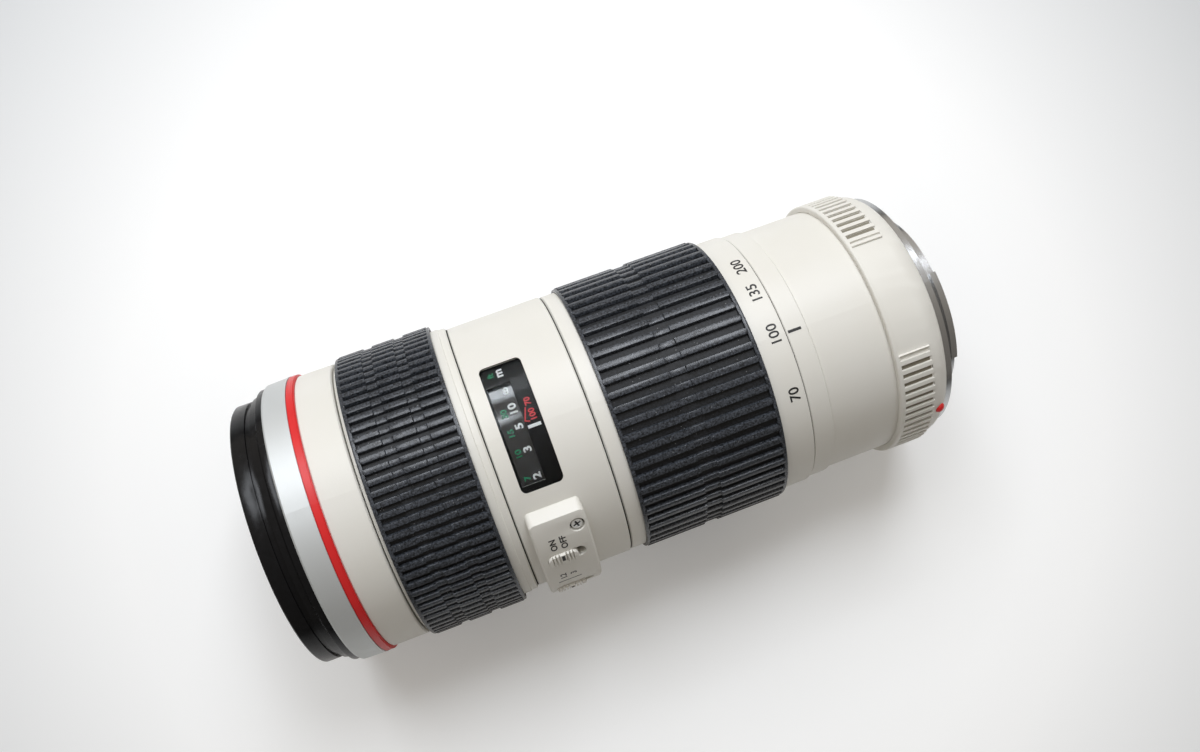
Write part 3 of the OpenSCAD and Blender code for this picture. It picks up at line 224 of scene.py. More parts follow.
def stroke(width, length, x, clock, radius, lean=0.0):
    """A straight printed line along the lens, or leaning by an angle."""
    bpy.ops.object.select_all(action="DESELECT")
    bpy.ops.mesh.primitive_cube_add(size=1)
    mark = bpy.context.object
    mark.data.transform(Matrix.Rotation(math.radians(lean), 4, "Z")
                        @ Matrix.Diagonal((width, length, BLANK_THICKNESS, 1)))
    wrap(mark, x, clock, radius)
    return mark


def printed(name, ink, body, marks):
    """Joins marks of one ink into a piece that rides on a body."""
    bpy.ops.object.select_all(action="DESELECT")
    for mark in marks:
        mark.select_set(True)
    bpy.context.view_layer.objects.active = marks[0]
    bpy.ops.object.join()
    piece = bpy.context.object
    piece.name = name
    bpy.ops.object.mode_set(mode="EDIT")
    bpy.ops.mesh.select_all(action="SELECT")
    bpy.ops.mesh.remove_doubles(threshold=0.001 * MM)
    bpy.ops.mesh.normals_make_consistent(inside=False)
    bpy.ops.object.mode_set(mode="OBJECT")
    piece.data.materials.clear()
    piece.data.materials.append(ink)
    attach(piece, body)


DRUM_RADIUS = 33.16 * MM
METRES_AT, FEET_AT = -106.8 * MM, -109.1 * MM
METRES_HEIGHT, FEET_HEIGHT, INFINITY_CLOCK = 1.9 * MM, 1.5 * MM, -18.0
white_ink = printing_ink("white_scale_ink", "#F2F3F2", "#D9DBDC")
green_ink = printing_ink("green_scale_ink", "#1F9A6A", "#157550")
# Each figure with its clock angle at rest; an 8 on its side stands for infinity.
metres = {"10": -9.9, "5": -1.9, "3": 7.9, "2": 19.4, "1.5": 29.0, "1.2": 36.0}
feet = {"30": -8.6, "15": -0.2, "10": 8.4, "7": 19.0, "5": 28.6, "4": 35.4}
printed("distance_metres", white_ink, "scale_drum",
        [figures(words, METRES_HEIGHT, METRES_AT, clock, DRUM_RADIUS, boldness=0.03, stretch=1.2)
         for words, clock in metres.items()]
        + [figures("8", METRES_HEIGHT, METRES_AT, INFINITY_CLOCK, DRUM_RADIUS, turned_by=90)])
printed("distance_feet", green_ink, "scale_drum",
        [figures(words, FEET_HEIGHT, FEET_AT, clock, DRUM_RADIUS, boldness=0.02, stretch=1.15)
         for words, clock in feet.items()])

# Mask over the drum: a black enamelled strip with an opening, fixed in the middle barrel.
# It carries the white index line, the units and small red marks for infra-red work.
mask_enamel, shader, place = finish("satin_black_paint", {
    "Base Color": linear("#08080A"), "Roughness": 0.45, "Specular IOR Level": 0.25})
dust = add(mask_enamel, "ShaderNodeTexNoise", {"Scale": 1 / (0.4 * MM), "Detail": 4.0}, ("Vector", place))
tone = add(mask_enamel, "ShaderNodeMix", {"data_type": "RGBA", 6: linear("#060607"), 7: linear("#101114")},
           ("Factor", dust.outputs["Fac"]))
feed(shader, "Base Color", tone.outputs[2])
dress(mask_enamel, "index_plate")
MASK_RADIUS, UNITS_CLOCK = 34.31 * MM, -25.7
INDEX_AT, INFRA_RED_HEIGHT, INFRA_RED_LINE = -103.3 * MM, 1.5 * MM, 0.3 * MM
red_ink = printing_ink("red_scale_ink", "#E2333A", "#C3252C")
printed("window_index", white_ink, "barrel",
        [stroke(0.8 * MM, 3.2 * MM, INDEX_AT, 0, MASK_RADIUS),
         figures("m", 2.1 * MM, METRES_AT, UNITS_CLOCK, MASK_RADIUS, boldness=0.03, stretch=1.1)])
printed("window_feet_unit", green_ink, "barrel",
        [figures("ft", 1.6 * MM, FEET_AT, UNITS_CLOCK, MASK_RADIUS, boldness=0.02)])
printed("infra_red_marks", red_ink, "barrel",
        [figures("100", INFRA_RED_HEIGHT, -102.9 * MM, -4.6, MASK_RADIUS, boldness=0.03),
         figures("70", INFRA_RED_HEIGHT, -103.0 * MM, -10.0, MASK_RADIUS, boldness=0.03),
         stroke(INFRA_RED_LINE, 1.3 * MM, -104.6 * MM, -2.4, MASK_RADIUS, lean=-20),
         stroke(INFRA_RED_LINE, 3.4 * MM, -104.5 * MM, -5.2, MASK_RADIUS, lean=70)])

# Distance window: a curved pane of clear acrylic, moulded and pressed into the middle barrel.
# Faint wipe marks about 3 mm wide dull it here and there.
# Its IOR is set low, so that its glare doesn't hide the scale below.
clear_acrylic, shader, place = finish("clear_acrylic", {
    "Base Color": linear("#F4F6F6"), "IOR": 1.12, "Transmission Weight": 1.0})
wipes = add(clear_acrylic, "ShaderNodeTexNoise", {"Scale": 1 / (3 * MM), "Detail": 5.0}, ("Vector", place))
gloss = add(clear_acrylic, "ShaderNodeMapRange", {"To Min": 0.0, "To Max": 0.05},
            ("Value", wipes.outputs["Fac"]))
feed(shader, "Roughness", gloss.outputs["Result"])
dress(clear_acrylic, "distance_window")

# Focal length scale on the zoom ring and its index line on the rear barrel.
# Both are engraved in the paint and filled with black.
ZOOM_SCALE_RADIUS, SEAT_RADIUS = 34.91 * MM, 34.38 * MM
FOCAL_LENGTHS_AT, FOCAL_LENGTHS_HEIGHT, ZOOM_INDEX_AT = -42.2 * MM, 2.7 * MM, -36.9 * MM
black_ink = printing_ink("black_filling_ink", "#1B1B1C", "#2C2B2A")
focal_lengths = {"70": 24.3, "100": -1.5, "135": -20.6, "200": -35.6}
printed("focal_lengths", black_ink, "zoom_ring",
        [figures(words, FOCAL_LENGTHS_HEIGHT, FOCAL_LENGTHS_AT, clock, ZOOM_SCALE_RADIUS)
         for words, clock in focal_lengths.items()])
printed("zoom_index", black_ink, "barrel",
        [stroke(0.7 * MM, 3.4 * MM, ZOOM_INDEX_AT, 0, SEAT_RADIUS)])

# Rubber grips: moulded sleeves stretched over the focus and zoom rings, with raised ribs along the lens.
# Each rib has rounded ends and drops to a lower block at the notched bands.
RIB_DEPTH, NOTCH_DEPTH, RIM_LENGTH, DRAFT = 1.1 * MM, 0.4 * MM, 1.0 * MM, 0.12 * MM
RIB_FOOT, RIB_ROUNDING, SLEEVE_ROUNDING = 0.3 * MM, 0.11 * MM, 0.18 * MM
RIB_CORNER_SHARE, RIB_START_SHARE = 0.38, 0.7
SMOOTH_UP_TO = math.radians(35)


def rubber(name, top):
    """Moulded rubber, bloomed in specks 0.5 mm wide, dusty, worn paler towards the tops of its ribs, and
    darker in the grooves as painted shade.
    """
    material, shader, place = finish(name, {
        "Base Color": linear("#2C2E33"), "Roughness": 0.26, "Specular IOR Level": 0.42})
    across = add(material, "ShaderNodeVectorMath", {"operation": "MULTIPLY", 1: (0, 1, 1)}, (0, place))
    radius = add(material, "ShaderNodeVectorMath", {"operation": "LENGTH"}, (0, across.outputs["Vector"]))
    # This mask of rib height pales the worn tops and, through the tone below, paints shade in the grooves.
    wear = add(material, "ShaderNodeMapRange", {
        "From Min": top - RIB_DEPTH, "From Max": top - 0.6 * RIB_DEPTH}, ("Value", radius.outputs["Value"]))
    bloom = add(material, "ShaderNodeTexNoise", {"Scale": 1 / (0.5 * MM), "Detail": 4.0, "Roughness": 0.7},
                ("Vector", place))
    grain = add(material, "ShaderNodeMapRange", {"From Min": 0.38, "From Max": 0.64},
                ("Value", bloom.outputs["Fac"]))
    worn = add(material, "ShaderNodeMix", {"data_type": "RGBA", 6: linear("#191B1E"), 7: linear("#4D5158")},
               ("Factor", grain.outputs["Result"]))
    # The darker tone below the ribs' worn tops is painted shade in the grooves.
    painted_groove_shade = add(material, "ShaderNodeMix", {"data_type": "RGBA", 6: linear("#0B0C0D"), 7: linear("#25272B")},
               ("Factor", grain.outputs["Result"]))
    tone = add(material, "ShaderNodeMix", {"data_type": "RGBA"},
               ("Factor", wear.outputs["Result"]), (6, painted_groove_shade.outputs[2]), (7, worn.outputs[2]))
    specks = add(material, "ShaderNodeTexVoronoi", {"Scale": 1 / (1.6 * MM)}, ("Vector", place))
    speck = add(material, "ShaderNodeMapRange", {
        "From Min": 0.05, "From Max": 0.09, "To Min": 0.5, "To Max": 0.0},
                ("Value", specks.outputs["Distance"]))
    dusty = add(material, "ShaderNodeMix", {"data_type": "RGBA", 7: linear("#A9AAAA")},
                ("Factor", speck.outputs["Result"]), (6, tone.outputs[2]))
    relief = add(material, "ShaderNodeBump", {"Strength": 0.5, "Distance": 0.04 * MM},
                 ("Height", bloom.outputs["Fac"]))
    gloss = add(material, "ShaderNodeMapRange", {"To Min": 0.6, "To Max": 0.26},
                ("Value", wear.outputs["Result"]))
    feed(shader, "Base Color", dusty.outputs[2])
    feed(shader, "Roughness", gloss.outputs["Result"])
    feed(shader, "Normal", relief.outputs["Normal"])
    return material


def turned(name, outline, steps):
    """A ring turned from a closed outline of stations and radii, counted round the outline."""
    bpy.ops.object.select_all(action="DESELECT")
    bpy.ops.mesh.primitive_circle_add(vertices=len(outline))
    ring = bpy.context.object
    ring.name = name
    for vertex, (x, radius) in zip(ring.data.vertices, outline):
        vertex.co = (x, 0, radius)
    bpy.ops.object.mode_set(mode="EDIT")
    bpy.ops.mesh.select_all(action="SELECT")
    bpy.ops.mesh.spin(steps=steps, angle=2 * math.pi, center=(0, 0, 0), axis=(1, 0, 0))
    bpy.ops.mesh.select_all(action="SELECT")
    bpy.ops.mesh.remove_doubles(threshold=0.001 * MM)
    bpy.ops.mesh.normals_make_consistent(inside=False)
    bpy.ops.object.mode_set(mode="OBJECT")
    return ring


def soften(piece, width, segments=2, clamp=True):
    """Rounds the sharp edges of a piece, drops the empty faces this leaves, and shades it smooth."""
    bpy.ops.object.select_all(action="DESELECT")
    piece.select_set(True)
    bpy.context.view_layer.objects.active = piece
    rounding = piece.modifiers.new("rounding", "BEVEL")
    rounding.width, rounding.segments = width, segments
    rounding.limit_method, rounding.angle_limit = "ANGLE", SMOOTH_UP_TO
    rounding.use_clamp_overlap = clamp
    bpy.ops.object.modifier_apply(modifier=rounding.name)
    bpy.ops.object.mode_set(mode="EDIT")
    bpy.ops.mesh.select_all(action="SELECT")
    bpy.ops.mesh.remove_doubles(threshold=0.002 * MM)
    bpy.ops.mesh.dissolve_degenerate(threshold=0.002 * MM)
    bpy.ops.object.mode_set(mode="OBJECT")
    bpy.ops.object.shade_smooth_by_angle(angle=SMOOTH_UP_TO)


def bar_along(front, rear, width, foot, top, corner):
    """A bar at the top of the lens, with its upright corners rounded."""
    bpy.ops.object.select_all(action="DESELECT")
    bpy.ops.mesh.primitive_cube_add(size=1)
    bar = bpy.context.object
    bar.data.transform(Matrix.Translation(((front + rear) / 2, 0, (foot + top) / 2))
                       @ Matrix.Diagonal((rear - front, width, top - foot, 1)))
    bpy.ops.object.mode_set(mode="EDIT")
    bpy.ops.mesh.select_mode(type="EDGE")
    bpy.ops.mesh.select_all(action="DESELECT")
    bpy.ops.object.mode_set(mode="OBJECT")
    for edge in bar.data.edges:
        ends = [bar.data.vertices[i].co for i in edge.vertices]
        edge.select = abs(ends[0].z - ends[1].z) > (top - foot) / 2
    bpy.ops.object.mode_set(mode="EDIT")
    bpy.ops.mesh.bevel(offset=corner, segments=4)
    bpy.ops.object.mode_set(mode="OBJECT")
    return bar


def notch(bar, top, middles, length, depth):
    """Lowers a bar's top across each notch, with a slight draft at both ends."""
    bpy.ops.object.mode_set(mode="EDIT")
    for middle in middles:
        for edge in (-length / 2, -length / 2 + DRAFT, length / 2 - DRAFT, length / 2):
            bpy.ops.mesh.select_all(action="SELECT")
            bpy.ops.mesh.bisect(plane_co=(middle + edge, 0, 0), plane_no=(1, 0, 0))
    bpy.ops.object.mode_set(mode="OBJECT")
    for vertex in bar.data.vertices:
        inside = any(abs(vertex.co.x - middle) < length / 2 - DRAFT / 2 for middle in middles)
        if inside and vertex.co.z > top - 0.01 * MM:
            vertex.co.z -= depth


def rib(front, rear, foot_width, top_width, top, notches, notch_length):
    """One rib at the top of the lens: narrower at its top, with a lower block at each notch."""
    foot = top - RIB_DEPTH - RIB_FOOT
    bar = bar_along(front, rear, foot_width, foot, top, RIB_CORNER_SHARE * foot_width)
    for vertex in bar.data.vertices:
        if vertex.co.z > (foot + top) / 2:
            vertex.co.y *= top_width / foot_width
    notch(bar, top, notches, notch_length, NOTCH_DEPTH)
    soften(bar, RIB_ROUNDING)
    return bar


def ribbed_sleeve(name, node, body, seat, top, ribs, widths, notches, notch_length):
    """A rubber sleeve for its CAD node; widths are shares of the ribs' pitch, notches of the length."""
    low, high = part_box(node)
    front, rear = low.x, high.x
    groove, rim = top - RIB_DEPTH, top - NOTCH_DEPTH / 2
    sleeve = turned(name, [
        (front, seat), (front, rim), (front + RIM_LENGTH, rim), (front + RIM_LENGTH, groove),
        (rear - RIM_LENGTH, groove), (rear - RIM_LENGTH, rim), (rear, rim), (rear, seat)], 2 * ribs)
    soften(sleeve, SLEEVE_ROUNDING)
    pitch, start = 2 * math.pi * top / ribs, RIB_START_SHARE * RIM_LENGTH
    bar = rib(front + start, rear - start, widths[0] * pitch, widths[1] * pitch, top,
              [front + share * (rear - front) for share in notches], notch_length)
    bpy.ops.object.mode_set(mode="EDIT")
    bpy.ops.mesh.select_all(action="SELECT")
    bpy.ops.mesh.spin(steps=ribs - 1, dupli=True, angle=2 * math.pi * (ribs - 1) / ribs, center=(0, 0, 0),
                      axis=(1, 0, 0))
    bpy.ops.object.mode_set(mode="OBJECT")
    bpy.ops.object.select_all(action="DESELECT")
    bar.select_set(True)
    sleeve.select_set(True)
    bpy.context.view_layer.objects.active = sleeve
    bpy.ops.object.join()
    sleeve.data.materials.clear()
    sleeve.data.materials.append(rubber(name, top))
    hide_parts(node)
    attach(sleeve, body)


ribbed_sleeve("focus_rubber", "focus_grip", "focus_ring", seat=35.98 * MM, top=38.0 * MM, ribs=88,
              widths=(0.68, 0.5), notches=(1 / 3, 2 / 3), notch_length=2.7 * MM)
ribbed_sleeve("zoom_rubber", "zoom_grip", "zoom_ring", seat=34.95 * MM, top=36.41 * MM, ribs=63,
              widths=(0.56, 0.42), notches=(0.48,), notch_length=4.2 * MM)

# Seam shade: thin black rings sunk in the seams where the rings turn against the barrels, painted shade in
# the gaps.
# They are matt, and barely uneven in spots 0.1 mm across.
SEAM_SHADE_HALF_WIDTH, SEAM_SHADE_DEPTH, SEAM_SHADE_SINK, SEAM_SHADE_CREST = 0.11 * MM, 0.9 * MM, 0.1 * MM, 0.05 * MM
ROUND_STEPS = 180
seam_shade_black, shader, place = finish("painted_seam_shade", {"Base Color": linear("#121212"), "Roughness": 0.9})
seam_shade_grain = add(seam_shade_black, "ShaderNodeTexNoise", {"Scale": 1 / (0.1 * MM), "Detail": 3.0}, ("Vector", place))
tone = add(seam_shade_black, "ShaderNodeMix", {"data_type": "RGBA", 6: linear("#0C0C0C"), 7: linear("#1C1B1A")},
           ("Factor", seam_shade_grain.outputs["Fac"]))
feed(shader, "Base Color", tone.outputs[2])
seams = {"focus_rear_seam_shade": (-115.55 * MM, 35.66 * MM), "zoom_front_seam_shade": (-89.85 * MM, 35.41 * MM),
         "zoom_rear_seam_shade": (-39.25 * MM, 34.38 * MM)}
for name, (seam, radius) in seams.items():
    seam_shade_ring = turned(name, [(seam + side * SEAM_SHADE_HALF_WIDTH, radius - depth) for side, depth in (
        (-1, SEAM_SHADE_DEPTH), (-1, SEAM_SHADE_SINK + SEAM_SHADE_CREST), (0, SEAM_SHADE_SINK), (1, SEAM_SHADE_SINK + SEAM_SHADE_CREST),
        (1, SEAM_SHADE_DEPTH))], ROUND_STEPS)
    bpy.ops.object.shade_smooth_by_angle(angle=SMOOTH_UP_TO)
    seam_shade_ring.data.materials.append(seam_shade_black)
    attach(seam_shade_ring, "barrel")

# Switch panel: a moulded cream cover that is screwed over the switches, with its edges rounded.
# The focus switch is on or off, and the limit switch gives the nearest distance in metres.
PANEL_RADIUS, SINK_RADIUS = 38.86 * MM, 37.76 * MM
FOCUS_SWITCH, LIMIT_SWITCH = 53.0, 80.0
FRONT_LABEL, REAR_LABEL, LABEL_HEIGHT = -108.8 * MM, -106.2 * MM, 1.6 * MM
ABOVE_FOCUS_SWITCH, ABOVE_LIMIT_SWITCH = 7.6, 14.5
LIMIT_LINE_AT, LIMIT_LINE_CLOCK = -107.4 * MM, LIMIT_SWITCH - 9.5


def merged_copy(name, node, body):
    """A copy of a CAD node in its place, with its corners merged and its flat faces whole."""
    copy = bpy.data.objects.new(name, nodes[node].data.copy())
    bpy.context.scene.collection.objects.link(copy)
    bpy.ops.object.select_all(action="DESELECT")
    copy.select_set(True)
    bpy.context.view_layer.objects.active = copy
    bpy.ops.object.mode_set(mode="EDIT")
    bpy.ops.mesh.select_all(action="SELECT")
    bpy.ops.mesh.remove_doubles(threshold=0.001 * MM)
    bpy.ops.mesh.dissolve_limited(angle_limit=math.radians(1))
    bpy.ops.object.mode_set(mode="OBJECT")
    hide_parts(node)
    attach(copy, body)
    return copy


panel = merged_copy("rounded_switch_panel", "switch_panel", "barrel")
# The upper end's wall stands steeper than the solid's: its outer edge moves round a little.
END_LEVEL, END_CLOCK, END_SHIFT = 38.2 * MM, 37.0, -2.3
for vertex in panel.data.vertices:
    clock = math.degrees(math.atan2(-vertex.co.y, vertex.co.z))
    if Vector((0, *vertex.co.yz)).length > END_LEVEL and clock < END_CLOCK:
        vertex.co = Matrix.Rotation(math.radians(END_SHIFT), 3, "X") @ vertex.co
# Its upright corners are rounded by what it shares with a rounded bar along the mould's way out.
PANEL_CORNER, PANEL_MIDDLE, PANEL_WIDTH, PANEL_ROUNDING = 1.4 * MM, 66.2, 41.0 * MM, 0.4 * MM
MOULD_FOOT, MOULD_TOP = 10 * MM, 45 * MM
panel_low, panel_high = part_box("switch_panel")
mould = bar_along(panel_low.x, panel_high.x, PANEL_WIDTH, MOULD_FOOT, MOULD_TOP, PANEL_CORNER)
mould.data.transform(Matrix.Rotation(math.radians(PANEL_MIDDLE), 4, "X"))
trim = panel.modifiers.new("corners", "BOOLEAN")
trim.operation, trim.object = "INTERSECT", mould
bpy.context.view_layer.objects.active = panel
bpy.ops.object.modifier_apply(modifier=trim.name)
bpy.data.objects.remove(mould)
soften(panel, PANEL_ROUNDING, 3)
printed("switch_labels", black_ink, "barrel",
        [figures(words, LABEL_HEIGHT, x, clock, PANEL_RADIUS, boldness=0.02, stretch=1.1)
         for words, x, clock in (
             ("ON", FRONT_LABEL, FOCUS_SWITCH - ABOVE_FOCUS_SWITCH),
             ("OFF", REAR_LABEL, FOCUS_SWITCH - ABOVE_FOCUS_SWITCH),
             ("1.2", FRONT_LABEL, LIMIT_SWITCH - ABOVE_LIMIT_SWITCH),
             ("3", REAR_LABEL, LIMIT_SWITCH - ABOVE_LIMIT_SWITCH))]
        + [stroke(0.25 * MM, 6.0 * MM, LIMIT_LINE_AT, LIMIT_LINE_CLOCK, PANEL_RADIUS)])

# Panel screws: plated steel cross-heads at the bottom of round sinks, which hold the panel on its barrel.
# Their plating is dulled in spots of 0.3 mm, and black marks in the crosses and round the heads are painted
# shade.
SCREW_PLACES = ((-101.8 * MM, 40.2), (-110.5 * MM, 92.8))
HEAD_RADIUS, HEAD_TOP, HEAD_ROUNDING, HEAD_SIDES = 1.42 * MM, 38.5 * MM, 0.15 * MM, 48
CROSS_WIDTH, CROSS_LENGTH, CROSS_DEPTH, CROSS_LEAN = 0.55 * MM, 2.0 * MM, 0.3 * MM, 20
SCREW_SHADE_GAP, SCREW_SHADE_RING, SCREW_SHADE_RISE = 0.04 * MM, 0.34 * MM, 0.03 * MM
steel, shader, place = finish("zinc_plated_steel", {
    "Base Color": linear("#E2E2DE"), "Metallic": 0.15, "Roughness": 0.4})
plating = add(steel, "ShaderNodeTexNoise", {"Scale": 1 / (0.3 * MM), "Detail": 3.0}, ("Vector", place))
gloss = add(steel, "ShaderNodeMapRange", {"To Min": 0.34, "To Max": 0.5}, ("Value", plating.outputs["Fac"]))
feed(shader, "Roughness", gloss.outputs["Result"])


def upright(part, x, clock, lean):
    """Puts a part that was made round the vertical at a station and a clock angle, leaning as asked."""
    part.data.transform(Matrix.Rotation(math.radians(clock), 4, "X") @ Matrix.Translation((x, 0, 0))
                        @ Matrix.Rotation(math.radians(lean), 4, "Z"))


screw_shade_marks, heads = [], []
for x, clock in SCREW_PLACES:
    bpy.ops.object.select_all(action="DESELECT")
    bpy.ops.mesh.primitive_cylinder_add(vertices=HEAD_SIDES, radius=HEAD_RADIUS,
                                        depth=HEAD_TOP - SINK_RADIUS)
    head = bpy.context.object
    head.data.transform(Matrix.Translation((0, 0, (HEAD_TOP + SINK_RADIUS) / 2)))
    soften(head, HEAD_ROUNDING)
    for length, width in ((CROSS_LENGTH, CROSS_WIDTH), (CROSS_WIDTH, CROSS_LENGTH)):
        bpy.ops.object.select_all(action="DESELECT")
        bpy.ops.mesh.primitive_cube_add(size=1)
        cutter = bpy.context.object
        cutter.data.transform(Matrix.Translation((0, 0, HEAD_TOP))
                              @ Matrix.Diagonal((length, width, 2 * CROSS_DEPTH, 1)))
        cut = head.modifiers.new("cross", "BOOLEAN")
        cut.operation, cut.object = "DIFFERENCE", cutter
        bpy.context.view_layer.objects.active = head
        bpy.ops.object.modifier_apply(modifier=cut.name)
        bpy.data.objects.remove(cutter)
    upright(head, x, clock, CROSS_LEAN)
    heads.append(head)
    # Black ink in each cross and a ring round each head, in its sink, paint their shade.
    screw_shade_marks += [stroke(CROSS_WIDTH - SCREW_SHADE_GAP, CROSS_LENGTH - SCREW_SHADE_GAP, x, clock,
                    HEAD_TOP - CROSS_DEPTH + SCREW_SHADE_GAP, lean=lean)
             for lean in (CROSS_LEAN, CROSS_LEAN + 90)]
    bpy.ops.object.select_all(action="DESELECT")
    bpy.ops.mesh.primitive_cylinder_add(vertices=HEAD_SIDES, radius=HEAD_RADIUS + SCREW_SHADE_RING,
                                        depth=BLANK_THICKNESS)
    wrap(bpy.context.object, x, clock, SINK_RADIUS + SCREW_SHADE_RISE)
    screw_shade_marks.append(bpy.context.object)
printed("painted_screw_shade", black_ink, "barrel", screw_shade_marks)
bpy.ops.object.select_all(action="DESELECT")
for head in heads:
    head.select_set(True)
bpy.context.view_layer.objects.active = heads[0]
bpy.ops.object.join()
heads[0].name = "cross_head_screws"
heads[0].data.materials.append(steel)
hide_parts("panel_screws")
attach(heads[0], "barrel")

# Sliders: moulded cream knobs that stand out of the panel's slots, one for each switch.
# Each has three grooves at either end for the finger, and a black line across the middle.
SLIDER_FRONT, SLIDER_REAR, SLIDER_WIDTH = -111.2 * MM, -103.6 * MM, 3.5 * MM
SLIDER_FOOT, SLIDER_TOP, SLIDER_CORNER_SHARE, SLIDER_ROUNDING = 36.2 * MM, 39.66 * MM, 0.48, 0.08 * MM
FINGER_GROOVES = [1.2 * MM, 2.05 * MM, 2.9 * MM]
FINGER_GROOVE_LENGTH, FINGER_GROOVE_DEPTH = 0.42 * MM, 0.8 * MM
KNOB_LINE_WIDTH, KNOB_LINE_LENGTH, KNOB_LINE_SHIFT = 1.8 * MM, 0.8 * MM, 0.8


def slider(name, node, body, clock):
    """A grooved knob in the place of its CAD node, and its black line."""
    knob = bar_along(SLIDER_FRONT, SLIDER_REAR, SLIDER_WIDTH, SLIDER_FOOT, SLIDER_TOP,
                     SLIDER_CORNER_SHARE * SLIDER_WIDTH)
    notch(knob, SLIDER_TOP, [SLIDER_FRONT + groove for groove in FINGER_GROOVES]
          + [SLIDER_REAR - groove for groove in FINGER_GROOVES], FINGER_GROOVE_LENGTH, FINGER_GROOVE_DEPTH)
    soften(knob, SLIDER_ROUNDING)
    knob.data.transform(Matrix.Rotation(math.radians(clock), 4, "X"))
    knob.name = name
    knob.data.materials.append(white_paint)
    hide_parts(node)
    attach(knob, body)
    printed(name + "_line", black_ink, body,
            [stroke(KNOB_LINE_WIDTH, KNOB_LINE_LENGTH, (SLIDER_FRONT + SLIDER_REAR) / 2,
                    clock - KNOB_LINE_SHIFT, SLIDER_TOP)])


slider("focus_switch_knob", "af_slider", "af_switch", FOCUS_SWITCH)
slider("limit_switch_knob", "limit_slider", "limit_switch", LIMIT_SWITCH)

# Rear cover: a moulded ring under the white paint, held between the rear barrel and the mount.
# It has slots for the fingers on both sides, with rounded edges and painted grey shade on their floors.
COVER_ROUNDING, COVER_SMOOTH_UP_TO = 0.12 * MM, math.radians(16)
SLOT_PITCH, SLOTS_A_SIDE, FIRST_SLOT = 4, 33, 26.0
SLOTS_AT, SLOT_FLOOR, SLOT_SHADE_WIDTH, SLOT_SHADE_LENGTH = -10.5 * MM, 34.78 * MM, 1.15 * MM, 7.6 * MM
soften(merged_copy("rounded_rear_cover", "rear_cover", "barrel"), COVER_ROUNDING, clamp=False)
bpy.ops.object.shade_smooth_by_angle(angle=COVER_SMOOTH_UP_TO)
# The grey strips on the slots' floors are painted shade.
slot_shade_ink = printing_ink("grey_slot_shade", "#8C8679", "#77715F")
printed("cover_slot_shade", slot_shade_ink, "barrel",
        [stroke(SLOT_SHADE_WIDTH, SLOT_SHADE_LENGTH, SLOTS_AT, side + FIRST_SLOT + k * SLOT_PITCH, SLOT_FLOOR)
         for side in (0, 180) for k in range(1, SLOTS_A_SIDE - 1)])

# Red ring and mounting dot: glossy red enamel, laid in a groove and as a drop on the cover's shoulder.
# It is even to the eye, with shades some 4 mm wide that barely differ.
red_enamel, shader, place = finish("gloss_red_enamel", {
    "Base Color": linear("#DB2A2A"), "Roughness": 0.35, "Specular IOR Level": 0.4})
shade = add(red_enamel, "ShaderNodeTexNoise", {"Scale": 1 / (4 * MM), "Detail": 3.0}, ("Vector", place))
tone = add(red_enamel, "ShaderNodeMix", {"data_type": "RGBA", 6: linear("#E02C2C"), 7: linear("#CE2426")},
           ("Factor", shade.outputs["Fac"]))
feed(shader, "Base Color", tone.outputs[2])
dress(red_enamel, "red_ring")
DOT_RADIUS, DOT_RISE, DOT_CLOCK, SHOULDER_TILT = 1.4 * MM, 0.75, 60.4, 20.6
bpy.ops.object.select_all(action="DESELECT")
bpy.ops.mesh.primitive_uv_sphere_add(segments=32, ring_count=16, radius=DOT_RADIUS)
dot = bpy.context.object
dot.name = "enamel_dot"
dot_low, dot_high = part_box("index_dot")
dot.data.transform(Matrix.Translation((dot_low + dot_high) / 2)
                   @ Matrix.Rotation(math.radians(DOT_CLOCK), 4, "X")
                   @ Matrix.Rotation(math.radians(SHOULDER_TILT), 4, "Y")
                   @ Matrix.Diagonal((1, 1, DOT_RISE, 1)))
bpy.ops.object.shade_smooth()
dot.data.materials.append(red_enamel)
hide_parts("index_dot")
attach(dot, "barrel")

# Name ring: turned aluminium with a satin anodised finish, held between the red ring and the filter ring.
# Fine turned lines 0.12 mm apart run round it and spread its sheen.
satin_aluminium, shader, place = finish("satin_anodised_aluminium", {
    "Base Color": linear("#D8DBDB"), "Metallic": 0.6, "Roughness": 0.5})
station = add(satin_aluminium, "ShaderNodeSeparateXYZ", {}, ("Vector", place))
lines = add(satin_aluminium, "ShaderNodeTexNoise", {
    "noise_dimensions": "1D", "Scale": 1 / (0.12 * MM), "Detail": 2.0}, ("W", station.outputs["X"]))
gloss = add(satin_aluminium, "ShaderNodeMapRange", {"To Min": 0.48, "To Max": 0.64},
            ("Value", lines.outputs["Fac"]))
relief = add(satin_aluminium, "ShaderNodeBump", {"Strength": 0.2, "Distance": 0.02 * MM},
             ("Height", lines.outputs["Fac"]))
feed(shader, "Roughness", gloss.outputs["Result"])
feed(shader, "Normal", relief.outputs["Normal"])
dress(satin_aluminium, "name_ring")

# Filter ring: moulded in hard black plastic, shiny from handling, with scuffs about 1.5 mm wide.
# The hood's seat is outside and the filter's thread, 0.74 mm from crest to crest, is inside.
black_plastic, shader, place = finish("polished_black_polycarbonate", {
    "Base Color": linear("#0C0C0E"), "Roughness": 0.22, "Specular IOR Level": 0.25})
scuffs = add(black_plastic, "ShaderNodeTexNoise", {"Scale": 1 / (1.5 * MM), "Detail": 6.0},
             ("Vector", place))
gloss = add(black_plastic, "ShaderNodeMapRange", {
    "From Min": 0.35, "From Max": 0.7, "To Min": 0.18, "To Max": 0.28}, ("Value", scuffs.outputs["Fac"]))
tone = add(black_plastic, "ShaderNodeMix", {"data_type": "RGBA", 6: linear("#0A0A0B"), 7: linear("#151517")},
           ("Factor", scuffs.outputs["Fac"]))
feed(shader, "Base Color", tone.outputs[2])
feed(shader, "Roughness", gloss.outputs["Result"])
dress(black_plastic, "contact_block")

